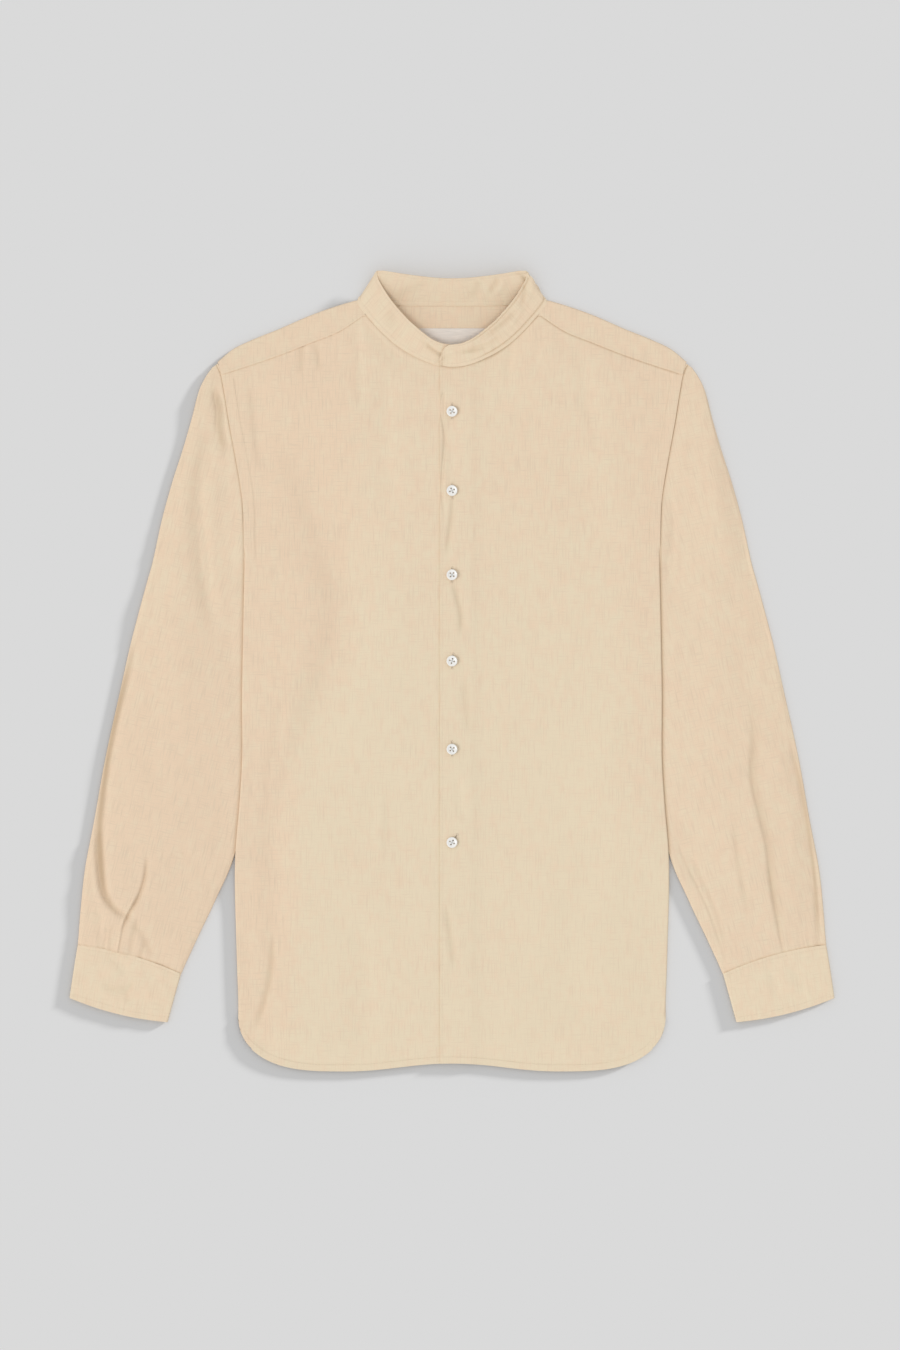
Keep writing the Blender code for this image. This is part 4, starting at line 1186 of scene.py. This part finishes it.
class Sewing:
    """Stitches gathered into one mesh."""

    def __init__(self):
        self.mesh = bmesh.new()

    def stitch(self, start, end, up, width=THREAD, height=None):
        """One thread that lies from start to end, in millimetres."""
        start, end = Vector(start) * MM, Vector(end) * MM
        along = (end - start).normalized()
        across = along.cross(Vector(up)).normalized()
        lift = across.cross(along)
        turn = Matrix((across, lift, along)).transposed().to_4x4()
        size = Matrix.Diagonal((width / 2 * MM, (height or width) / 2 * MM,
                                (end - start).length / 2, 1))
        place = Matrix.Translation((start + end) / 2) @ turn @ size
        bmesh.ops.create_uvsphere(self.mesh, u_segments=6, v_segments=4, radius=1, matrix=place)

    def row(self, points, ups, seed):
        """A row of stitches along a line of points."""
        points, ups = np.asarray(points, float), np.asarray(ups, float)
        ups = np.broadcast_to(ups, points.shape)
        reach = np.concatenate(([0], np.cumsum(np.linalg.norm(np.diff(points, axis=0), axis=1))))
        rng = np.random.default_rng(seed)
        begin = STITCH_PITCH / 2
        while begin + STITCH_LENGTH < reach[-1]:
            end = begin + STITCH_LENGTH * rng.uniform(0.9, 1.06)
            spots = [np.array([np.interp(d, reach, column) for column in points.T])
                     for d in (begin, end)]
            up = np.array([np.interp(begin, reach, column) for column in ups.T])
            self.stitch(*spots, up)
            begin += STITCH_PITCH

    def finish(self, name, material, slot):
        mesh = bpy.data.meshes.new(name)
        self.mesh.to_mesh(mesh)
        self.mesh.free()
        mesh.shade_smooth()
        mesh.materials.append(material)
        sewn = bpy.data.objects.new(name, mesh)
        bpy.context.scene.collection.objects.link(sewn)
        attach(sewn, BODY)
        return sewn


UP = (0.0, 0.0, 1.0)


def on_front(piece, x, y):
    """Points on the top face of a front panel."""
    z = front_level(piece, x, y) + LINEN_WALL / 2
    return np.stack([x, y, z], axis=1)


def front_stitches(piece, side, thread):
    """Placket, armhole and hem rows of one front."""
    sewing = Sewing()
    seed = SEEDS["stitches_left" if side > 0 else "stitches_right"]
    if side > 0:
        y = np.linspace(float(neck_seam_y(-LAP)) - 3, HEM_MID_Y + 2, 400)
        sewing.row(on_front(piece, np.full(y.shape, -LAP + EDGE_STITCH), y), UP, seed)
    x = np.linspace(-LAP + 1, 204, 500)
    hem = np.stack([x, hem_y(x)], axis=1)
    tangent = np.gradient(hem, axis=0)
    inward = np.stack([-tangent[:, 1], tangent[:, 0]], axis=1)
    inward /= np.linalg.norm(inward, axis=1)[:, None]
    row = hem + inward * HEM_DEPTH
    sewing.row(on_front(piece, side * row[:, 0], row[:, 1]), UP, seed + 1)
    y = np.linspace(294, 112, 200)
    x = side * (side_x(y) - FELL_WIDTH)
    sewing.row(on_front(piece, x, y), UP, seed + 2)
    return sewing.finish("stitches_" + piece, thread, "linen_trim")


def surface_rows(sheet, lines, seed, name, thread):
    """Stitches laid on a finished sheet, whose height under each line is looked up."""
    graph = bpy.context.evaluated_depsgraph_get()
    target = sheet.evaluated_get(graph)
    sewing = Sewing()
    for number, line in enumerate(lines):
        points, ups = [], []
        for spot in line:
            hit, location, normal, _ = target.ray_cast(
                Vector((spot[0] * MM, spot[1] * MM, 0.05)), Vector((0, 0, -1)))
            if hit:
                points.append(np.array(location) / MM)
                ups.append(np.array(normal))
        if len(points) > 1:
            sewing.row(points, ups, seed + number)
    return sewing.finish(name, thread, "linen_trim")


def yoke_lines(side):
    """The topstitch beside the yoke's front seam, and the one beside the armhole."""
    x = np.linspace(NECK_CORNER_X + 4, YOKE_SEAM[-1].x - 1, 160)
    line = np.stack([x, panel_top_y(x)], axis=1)
    tangent = np.gradient(line, axis=0)
    tangent /= np.linalg.norm(tangent, axis=1)[:, None]
    inward = np.stack([-tangent[:, 1], tangent[:, 0]], axis=1)
    seam = line + inward * (EDGE_STITCH - 0.4)
    y = np.linspace(297, 316, 24)
    armhole = np.stack([side_x(y) - FELL_WIDTH + 1.0, y], axis=1)
    return [line * (side, 1) for line in (seam, armhole)]


def cuff_lines(side):
    """Rows beside a cuff's seam and beside its lower edge."""
    lines = []
    curves = [smooth_curve(np.arange(len(CUFF_SECTIONS)), c) for c in np.array(CUFF_SECTIONS).T]
    for along in (0.06, 0.90):
        inner_x, inner_y, outer_x, outer_y, bow, _ = (
            float(curve(along * (len(CUFF_SECTIONS) - 1))) for curve in curves)
        share = np.linspace(0.02, 0.975, 160)
        run = np.array([outer_x - inner_x, outer_y - inner_y])
        down = np.array([run[1], -run[0]]) / np.linalg.norm(run)
        line = np.array([inner_x, inner_y]) + share[:, None] * run
        line = line + (bow * 4 * share * (1 - share))[:, None] * down
        lines.append(line * (side, 1))
    return lines


def band_stitches(thread):
    """Rows along the band's seam and top edge, across its left end, and inside its back."""
    sewing = Sewing()
    stop = 6.0
    outside = band_length - np.linspace(stop, band_length * 0.42, 300)
    under = np.linspace(LAP + 8, band_length * 0.42, 300)
    back = np.linspace(band_length * 0.36, band_length * 0.64, 260)
    low = EDGE_STITCH / BAND_HEIGHT
    high = 1 - low
    rows = [(outside, low, 1), (outside, high, 1), (under, low, 1), (under, high, 1),
            (back, 0.46, -1), (back, high, -1)]
    for number, (around, up, face) in enumerate(rows):
        up = np.full(around.shape, up)
        normal = band_outward(around, up)
        out = face * normal
        middle = band_points(around, up) + normal * band_relief(around, up)[:, None]
        facing = np.where(out[:, 2:3] < 0, -out, out)
        sewing.row(middle + facing * BAND_WALL / 2, facing, SEEDS["stitches_band"] + number)
    for inset in (EDGE_STITCH, 2 * EDGE_STITCH):
        up = np.linspace(0.08, 0.9, 60)
        around = np.full(up.shape, band_length - inset)
        normal = band_outward(around, up)
        middle = band_points(around, up) + normal * band_relief(around, up)[:, None]
        sewing.row(middle + normal * BAND_WALL / 2, normal, SEEDS["stitches_band_end"])
    return sewing.finish("stitches_band", thread, "linen_trim")


# Buttons

def button_blank():
    """A turned button with a dished face and four holes, at the origin."""
    profile = ((0, 0), (0.80, 0), (0.95, 0.16), (1, 0.40), (0.985, 0.70), (0.93, 0.90),
               (0.86, 1.0), (0.78, 0.97), (0.70, 0.84), (0.60, 0.74), (0.40, BUTTON_FACE),
               (0, BUTTON_FACE))
    turned = bmesh.new()
    verts = [turned.verts.new((r * BUTTON_RADIUS * MM, 0, z * BUTTON_HEIGHT * MM))
             for r, z in profile]
    edges = [turned.edges.new(pair) for pair in zip(verts, verts[1:])]
    bmesh.ops.spin(turned, geom=verts + edges, axis=(0, 0, 1), cent=(0, 0, 0), steps=56,
                   angle=2 * math.pi, use_merge=True)
    bmesh.ops.remove_doubles(turned, verts=turned.verts, dist=0.000001)
    bmesh.ops.recalc_face_normals(turned, faces=turned.faces)
    blank = bpy.data.meshes.new("button_blank")
    turned.to_mesh(blank)
    turned.free()
    holes = bmesh.new()
    low, high = BUTTON_HOLE_RADII
    for hole_x in (-1, 1):
        for hole_y in (-1, 1):
            shift = Vector((hole_x, hole_y, 0)) * BUTTON_HOLE_SPACING / 2 * MM
            bmesh.ops.create_cone(holes, cap_ends=True, segments=16, radius1=low * MM,
                                  radius2=high * MM, depth=8 * MM,
                                  matrix=Matrix.Translation(shift))
    cutter_mesh = bpy.data.meshes.new("button_holes")
    holes.to_mesh(cutter_mesh)
    holes.free()
    body = bpy.data.objects.new("button_blank", blank)
    cutter = bpy.data.objects.new("button_holes", cutter_mesh)
    for helper in (body, cutter):
        bpy.context.scene.collection.objects.link(helper)
    cut = body.modifiers.new("holes", "BOOLEAN")
    cut.operation = "DIFFERENCE"
    cut.object = cutter
    graph = bpy.context.evaluated_depsgraph_get()
    drilled = bpy.data.meshes.new_from_object(body.evaluated_get(graph))
    drilled.shade_smooth()
    drilled.set_sharp_from_angle(angle=math.radians(38))
    for helper in (body, cutter):
        bpy.data.objects.remove(helper)
    return drilled


ButtonSewing = namedtuple("ButtonSewing", "turn hole_x hole_y hole_tilt")
BUTTON_SEWING = (
    ButtonSewing(12, 0, 0.5, 0), ButtonSewing(-20, 0, -0.5, 3), ButtonSewing(5, 0, 0, 0),
    ButtonSewing(30, 0.5, 0, -4), ButtonSewing(-8, 0, 0.5, 2), ButtonSewing(18, 1.5, 1.5, -30),
)


def buttons(shell, button_thread, hole_thread, slit_shadow_finish):
    """Each button with its crossed thread, on its buttonhole."""
    blank = button_blank()
    holes, threads, slit_shadows = Sewing(), Sewing(), Sewing()
    for number, sewing in enumerate(BUTTON_SEWING, 1):
        low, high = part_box(f"button_{number}")
        centre = (low + high) / 2
        turn = Matrix.Rotation(math.radians(sewing.turn), 4, "Z")
        mesh = blank.copy()
        mesh.transform(Matrix.Translation((centre.x, centre.y, low.z)) @ turn)
        mesh.materials.clear()
        mesh.materials.append(shell)
        button = bpy.data.objects.new(f"shirt_button_{number}", mesh)
        bpy.context.scene.collection.objects.link(button)
        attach(button, BODY)
        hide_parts(f"button_{number}")
        face = low.z / MM + BUTTON_HEIGHT * BUTTON_FACE
        reach = BUTTON_HOLE_SPACING / 2
        for x, y in ((reach, reach), (-reach, reach)):
            for strand in (-0.24, 0, 0.24):
                aside = turn @ Vector((strand * y / reach, -strand * x / reach, 0)) * 0.7
                start = turn @ Vector((x, y, 0)) + aside
                end = turn @ Vector((-x, -y, 0)) + aside
                lift = Vector((centre.x / MM, centre.y / MM, face + 0.12 + 0.1 * (x > 0)))
                threads.stitch(start + lift, end + lift, UP, 0.28)
        sew_buttonhole(holes, slit_shadows, centre / MM, sewing)
    holes.finish("buttonhole_stitches", hole_thread, "linen_trim")
    threads.finish("button_threads", button_thread, "button")
    slit_shadows.finish("buttonhole_slit_shadows", slit_shadow_finish, "linen_trim")


def sew_buttonhole(holes, slit_shadows, centre, sewing):
    """Close bars along both sides of a slit, and a wider bar across each end."""
    tilt = math.radians(sewing.hole_tilt)
    along = np.array([-math.sin(tilt), math.cos(tilt)])
    across = np.array([along[1], -along[0]])
    middle = np.array([centre.x + sewing.hole_x, centre.y + sewing.hole_y])

    def at(distance, aside, lift=0.0):
        spot = middle + along * distance + across * aside
        z = front_level("front_left", spot[:1], spot[1:])[0] + LINEN_WALL / 2
        return (spot[0], spot[1], z + lift)

    half = HOLE_LENGTH / 2
    for distance in np.arange(-half, half + 0.01, HOLE_BAR_PITCH):
        for side in (-1, 1):
            inner, outer = (at(distance, side * aside, 0.05) for aside in (0.25, HOLE_BAR_LENGTH))
            holes.stitch(inner, outer, UP, 0.55, 0.4)
    for end in (-1, 1):
        for step in (0.2, 0.7):
            holes.stitch(at(end * (half + step), -1.3, 0.1), at(end * (half + step), 1.3, 0.1),
                         UP, 0.5)
    # A dark strip along the slit, as painted shadow.
    slit_shadows.stitch(at(-half, 0, 0.16), at(half, 0, 0.16), UP, 0.75, 0.3)


# Finishes

def link(tree, start, end):
    tree.links.new(start, end)


def calc(tree, operation, first, second=None):
    """A Math node. Each input is another node's output or a number."""
    node = tree.nodes.new("ShaderNodeMath")
    node.operation = operation
    for socket, value in zip(node.inputs, (first, second)):
        if isinstance(value, bpy.types.NodeSocket):
            link(tree, value, socket)
        elif value is not None:
            socket.default_value = value
    return node.outputs[0]


def noise(tree, vector, scale, detail=2.0):
    """Noise over a vector stretched by a scale for each axis."""
    stretch = tree.nodes.new("ShaderNodeVectorMath")
    stretch.operation = "MULTIPLY"
    link(tree, vector, stretch.inputs[0])
    stretch.inputs[1].default_value = scale
    node = tree.nodes.new("ShaderNodeTexNoise")
    node.noise_dimensions = "3D"
    node.inputs["Scale"].default_value = 1.0
    node.inputs["Detail"].default_value = detail
    link(tree, stretch.outputs[0], node.inputs["Vector"])
    return node.outputs["Fac"]


def mix_colour(tree, factor, first, second):
    node = tree.nodes.new("ShaderNodeMix")
    node.data_type = "RGBA"
    for index, value in ((0, factor), (6, first), (7, second)):
        if isinstance(value, bpy.types.NodeSocket):
            link(tree, value, node.inputs[index])
        else:
            node.inputs[index].default_value = value
    return node.outputs[2]


def spread(tree, value, low, high, to_low, to_high):
    """Stretch a value's range, held inside the new one."""
    node = tree.nodes.new("ShaderNodeMapRange")
    node.clamp = True
    link(tree, value, node.inputs["Value"])
    for name, number in (("From Min", low), ("From Max", high), ("To Min", to_low),
                         ("To Max", to_high)):
        node.inputs[name].default_value = number
    return node.outputs["Result"]


def linen_weave():
    """Plain weave of uneven flax threads, as a node group that both linens use."""
    tree = bpy.data.node_groups.new("linen_weave", "ShaderNodeTree")
    sockets = (("Grain", "NodeSocketVector"), ("Threads per metre", "NodeSocketFloat"),
               ("Rosiness", "NodeSocketFloat"),
               ("Straw", "NodeSocketColor"), ("Rose", "NodeSocketColor"),
               ("Slub shade", "NodeSocketColor"), ("Slub strength", "NodeSocketFloat"))
    for name, kind in sockets:
        tree.interface.new_socket(name, in_out="INPUT", socket_type=kind)
    for name, kind in (("Colour", "NodeSocketColor"), ("Roughness", "NodeSocketFloat"),
                       ("Height", "NodeSocketFloat")):
        tree.interface.new_socket(name, in_out="OUTPUT", socket_type=kind)
    given = tree.nodes.new("NodeGroupInput").outputs
    result = tree.nodes.new("NodeGroupOutput").inputs

    separate = tree.nodes.new("ShaderNodeSeparateXYZ")
    link(tree, given["Grain"], separate.inputs[0])
    waves = []
    for axis in ("X", "Y"):
        thread = calc(tree, "MULTIPLY", separate.outputs[axis], given["Threads per metre"])
        waves.append(calc(tree, "SINE", calc(tree, "MULTIPLY", thread, math.pi)))
    crossing = calc(tree, "MULTIPLY", waves[0], waves[1])
    warp_over = calc(tree, "MULTIPLY_ADD", crossing, 0.4)
    warp_over.node.inputs[2].default_value = 0.6
    weft_over = calc(tree, "MULTIPLY_ADD", crossing, -0.4)
    weft_over.node.inputs[2].default_value = 0.6
    warp = calc(tree, "MULTIPLY", calc(tree, "ABSOLUTE", waves[0]), warp_over)
    weft = calc(tree, "MULTIPLY", calc(tree, "ABSOLUTE", waves[1]), weft_over)
    weave = calc(tree, "MAXIMUM", warp, weft)

    warp_streak = noise(tree, given["Grain"], (760, 46, 1), 3.0)
    weft_streak = noise(tree, given["Grain"], (60, 820, 1), 3.0)
    patch = noise(tree, given["Grain"], (105, 70, 1), 2.0)
    fibre = noise(tree, given["Grain"], (2600, 1900, 1), 1.0)

    hue = calc(tree, "ADD", calc(tree, "MULTIPLY", patch, 0.55),
               calc(tree, "ADD", calc(tree, "MULTIPLY", warp_streak, 0.3),
                    calc(tree, "MULTIPLY", weft_streak, 0.15)))
    local = spread(tree, hue, 0.36, 0.64, -0.45, 0.45)
    rosy = calc(tree, "ADD", given["Rosiness"], local)
    rosy.node.use_clamp = True
    tint = mix_colour(tree, rosy, given["Straw"], given["Rose"])
    streak = calc(tree, "MAXIMUM", spread(tree, warp_streak, 0.50, 0.74, 0.0, 1.0),
                  spread(tree, weft_streak, 0.52, 0.76, 0.0, 0.9))
    rosy_slub_strength = calc(tree, "MULTIPLY_ADD", given["Rosiness"], 0.7)
    rosy_slub_strength.node.inputs[2].default_value = 0.65
    slub = calc(tree, "MULTIPLY", calc(tree, "MULTIPLY", streak, given["Slub strength"]), rosy_slub_strength)
    colour = mix_colour(tree, slub, tint, given["Slub shade"])
    link(tree, colour, result["Colour"])
    link(tree, spread(tree, fibre, 0.3, 0.7, 0.78, 0.95), result["Roughness"])
    body = calc(tree, "ADD", weave, calc(tree, "MULTIPLY", fibre, 0.35))
    uneven = calc(tree, "ADD", calc(tree, "MULTIPLY", warp_streak, 0.9),
                  calc(tree, "MULTIPLY", weft_streak, 0.9))
    link(tree, calc(tree, "ADD", body, uneven), result["Height"])
    return tree


def new_finish(name, roughness=0.8):
    material = bpy.data.materials.new(name)
    material.use_nodes = True
    shader = material.node_tree.nodes["Principled BSDF"]
    shader.inputs["Roughness"].default_value = roughness
    return material, material.node_tree, shader


def add_bump(tree, shader, height, distance):
    bump = tree.nodes.new("ShaderNodeBump")
    bump.inputs["Distance"].default_value = distance * MM
    bump.inputs["Strength"].default_value = 1.0
    link(tree, height, bump.inputs["Height"])
    link(tree, bump.outputs[0], shader.inputs["Normal"])


def linen_finish(name, weave, slub_strength, depth):
    material, tree, shader = new_finish(name)
    grain = tree.nodes.new("ShaderNodeUVMap")
    grain.uv_map = "grain"
    cloth = tree.nodes.new("ShaderNodeGroup")
    cloth.node_tree = weave
    link(tree, grain.outputs[0], cloth.inputs["Grain"])
    rosy_tone = tree.nodes.new("ShaderNodeAttribute")
    rosy_tone.attribute_name = "rosy"
    link(tree, rosy_tone.outputs["Fac"], cloth.inputs["Rosiness"])
    cloth.inputs["Threads per metre"].default_value = THREADS_PER_METRE
    for socket, colour in (("Straw", STRAW), ("Rose", ROSE), ("Slub shade", SLUB_SHADE)):
        cloth.inputs[socket].default_value = (*colour, 1)
    cloth.inputs["Slub strength"].default_value = slub_strength
    # The pressed attribute is painted shade: in sharp folds and beside pressed seams the colour is
    # drawn towards a shade brown.
    painted_shade = tree.nodes.new("ShaderNodeAttribute")
    painted_shade.attribute_name = "pressed"
    shaded_colour = mix_colour(tree, calc(tree, "MULTIPLY", painted_shade.outputs["Fac"], FOLD_SHADE_MIX),
                         cloth.outputs["Colour"], (*PAINTED_FOLD_SHADE, 1))
    link(tree, shaded_colour, shader.inputs["Base Color"])
    link(tree, cloth.outputs["Roughness"], shader.inputs["Roughness"])
    add_bump(tree, shader, cloth.outputs["Height"], depth)
    shader.inputs["Specular IOR Level"].default_value = 0.25
    shader.inputs["Sheen Weight"].default_value = 0.12
    shader.inputs["Sheen Roughness"].default_value = 0.5
    return material


def object_noise(tree, scale):
    place = tree.nodes.new("ShaderNodeTexCoord")
    return noise(tree, place.outputs["Object"], scale)


def varied_finish(name, low, high, scale, roughness, bump_depth=0.0, bump_scale=None):
    """A finish whose colour and roughness wander between two values."""
    material, tree, shader = new_finish(name, roughness[0])
    change = object_noise(tree, scale)
    spot = spread(tree, change, 0.3, 0.7, 0.0, 1.0)
    link(tree, mix_colour(tree, spot, (*low, 1), (*high, 1)), shader.inputs["Base Color"])
    link(tree, spread(tree, change, 0.3, 0.7, *roughness), shader.inputs["Roughness"])
    if bump_depth:
        add_bump(tree, shader, object_noise(tree, bump_scale), bump_depth)
    return material, shader


def scaled(colour, factor):
    return tuple(factor * c for c in colour)


def thread_finish(name, colour):
    """Spun thread: its colour and roughness wander with fine noise, and finer noise bumps it."""
    material, shader = varied_finish(name, scaled(colour, 0.88), colour, (900, 900, 900),
                                     (0.7, 0.9), 0.05, (5200, 5200, 5200))
    shader.inputs["Sheen Weight"].default_value = 0.15
    return material


def button_finish():
    material, shader = varied_finish("pearly_resin", scaled(BUTTON_WHITE, 0.94), BUTTON_WHITE,
                                     (160, 260, 160), (0.22, 0.34))
    shader.inputs["Coat Weight"].default_value = 0.35
    shader.inputs["Coat Roughness"].default_value = 0.12
    return material


def label_finish():
    """Satin-woven tape: close ribs across, and a slight change of tone."""
    material, tree, shader = new_finish("label_satin", 0.55)
    grain = tree.nodes.new("ShaderNodeUVMap")
    grain.uv_map = "grain"
    separate = tree.nodes.new("ShaderNodeSeparateXYZ")
    link(tree, grain.outputs[0], separate.inputs[0])
    ribs, warp = (
        calc(tree, "SINE", calc(tree, "MULTIPLY", separate.outputs[axis], 2 * math.pi * count))
        for axis, count in (("Y", LABEL_RIBS), ("X", LABEL_WARP)))
    height = calc(tree, "ADD", ribs, calc(tree, "MULTIPLY", warp, 0.4))
    tone = noise(tree, grain.outputs[0], (90, 700, 1))
    link(tree, mix_colour(tree, spread(tree, tone, 0.3, 0.7, 0.0, 1.0),
                          (*scaled(LABEL_GREY, 0.93), 1), (*scaled(LABEL_GREY, 1.04), 1)),
         shader.inputs["Base Color"])
    add_bump(tree, shader, height, 0.03)
    shader.inputs["Sheen Weight"].default_value = 0.2
    return material


def floor_finish():
    material, tree, shader = new_finish("plain_floor", 0.9)
    shader.inputs["Base Color"].default_value = (*FLOOR_GREY, 1)
    shader.inputs["Specular IOR Level"].default_value = 0.0
    return material


# Setting

def floor():
    ground = bmesh.new()
    bmesh.ops.create_grid(ground, x_segments=1, y_segments=1, size=FLOOR_SIZE)
    bmesh.ops.translate(ground, verts=ground.verts, vec=(0, 0, -FLOOR_DROP * MM))
    mesh = bpy.data.meshes.new("floor")
    ground.to_mesh(mesh)
    ground.free()
    mesh.materials.append(floor_finish())
    made = bpy.data.objects.new("floor", mesh)
    bpy.context.scene.collection.objects.link(made)
    made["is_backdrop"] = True
    return made


def sun(name, strength, height, turn, softness, receivers):
    """A wide, soft light from far away that falls only on the given objects."""
    data = bpy.data.lights.new(name, "SUN")
    data.energy = strength
    data.angle = math.radians(softness)
    lamp = bpy.data.objects.new(name, data)
    bpy.context.scene.collection.objects.link(lamp)
    up, round_z = math.radians(height), math.radians(turn)
    towards = Vector((math.cos(up) * math.cos(round_z), math.cos(up) * math.sin(round_z),
                      math.sin(up)))
    lamp.rotation_mode = "QUATERNION"
    lamp.rotation_quaternion = towards.to_track_quat("Z", "Y")
    lit = bpy.data.collections.new(name + "_falls_on")
    for thing in receivers:
        lit.objects.link(thing)
    lamp.light_linking.receiver_collection = lit


def studio(ground):
    world = bpy.data.worlds.new("studio")
    world.use_nodes = True
    world.node_tree.nodes["Background"].inputs["Color"].default_value = (1, 1, 1, 1)
    world.node_tree.nodes["Background"].inputs["Strength"].default_value = WORLD_STRENGTH
    bpy.context.scene.world = world
    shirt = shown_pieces()
    collar = [piece for piece in shirt if piece.name in COLLAR_PIECES]
    rest = [piece for piece in shirt if piece not in collar]
    sun("key_light", KEY_STRENGTH, KEY_HEIGHT, KEY_TURN, KEY_SOFTNESS, rest)
    sun("collar_light", COLLAR_STRENGTH, COLLAR_HEIGHT, COLLAR_TURN, KEY_SOFTNESS, collar)
    sun("cast_light", CAST_STRENGTH, CAST_HEIGHT, CAST_TURN, CAST_SOFTNESS, [ground])
    bpy.context.scene.view_settings.view_transform = "Standard"


def camera():
    data = bpy.data.cameras.new("camera")
    data.sensor_width = SENSOR
    data.lens = SENSOR * CAMERA_HEIGHT / VIEW_LENGTH
    made = bpy.data.objects.new("camera", data)
    made.location = (CAMERA_SPOT[0] * MM, CAMERA_SPOT[1] * MM, CAMERA_HEIGHT)
    bpy.context.scene.collection.objects.link(made)
    bpy.context.scene.camera = made


# The shirt

def main():
    weave = linen_weave()
    linen = linen_finish("linen", weave, 0.55, 0.10)
    trim = linen_finish("linen_trim", weave, 0.50, 0.08)
    tonal = thread_finish("tonal_thread", SEWING_THREAD)
    grey_thread = thread_finish("grey_thread", BUTTON_THREAD)
    slit, _ = varied_finish("slit_shade", scaled(SLIT_SHADE, 0.8), SLIT_SHADE, (900, 900, 900),
                            (0.85, 0.95))

    back = finish_sheet("back_cloth", "back", back_mesh(), LINEN_WALL, linen)
    yoke = finish_sheet("yoke_cloth", "yoke", yoke_mesh(), LINEN_WALL, linen)
    for word, side in (("left", 1), ("right", -1)):
        front_name, sleeve_name, cuff_name = (p + word for p in ("front_", "sleeve_", "cuff_"))
        front = finish_sheet(front_name + "_cloth", front_name, front_mesh(front_name, side),
                             LINEN_WALL, linen)
        sleeve = finish_sheet(sleeve_name + "_cloth", sleeve_name, sleeve_mesh(sleeve_name, side),
                              LINEN_WALL, linen)
        cuff = finish_sheet(cuff_name + "_cloth", cuff_name, cuff_mesh(cuff_name, side),
                            CUFF_WALL, trim)
        rows = front_stitches(front_name, side, tonal)
        cuff_rows = surface_rows(cuff, cuff_lines(side), SEEDS["stitches_cuff"],
                                 "stitches_" + cuff_name, tonal)
        surface_rows(yoke, yoke_lines(side), SEEDS["stitches_yoke"], "stitches_yoke_" + word,
                     tonal)
    band = finish_sheet("band_cloth", "collar_band", band_mesh(), BAND_WALL, trim)
    band_stitches(tonal)
    label = finish_sheet("label_cloth", "neck_label", label_mesh(), LABEL_WALL, label_finish())
    buttons(button_finish(), grey_thread, tonal, slit)


main()
studio(floor())
camera()
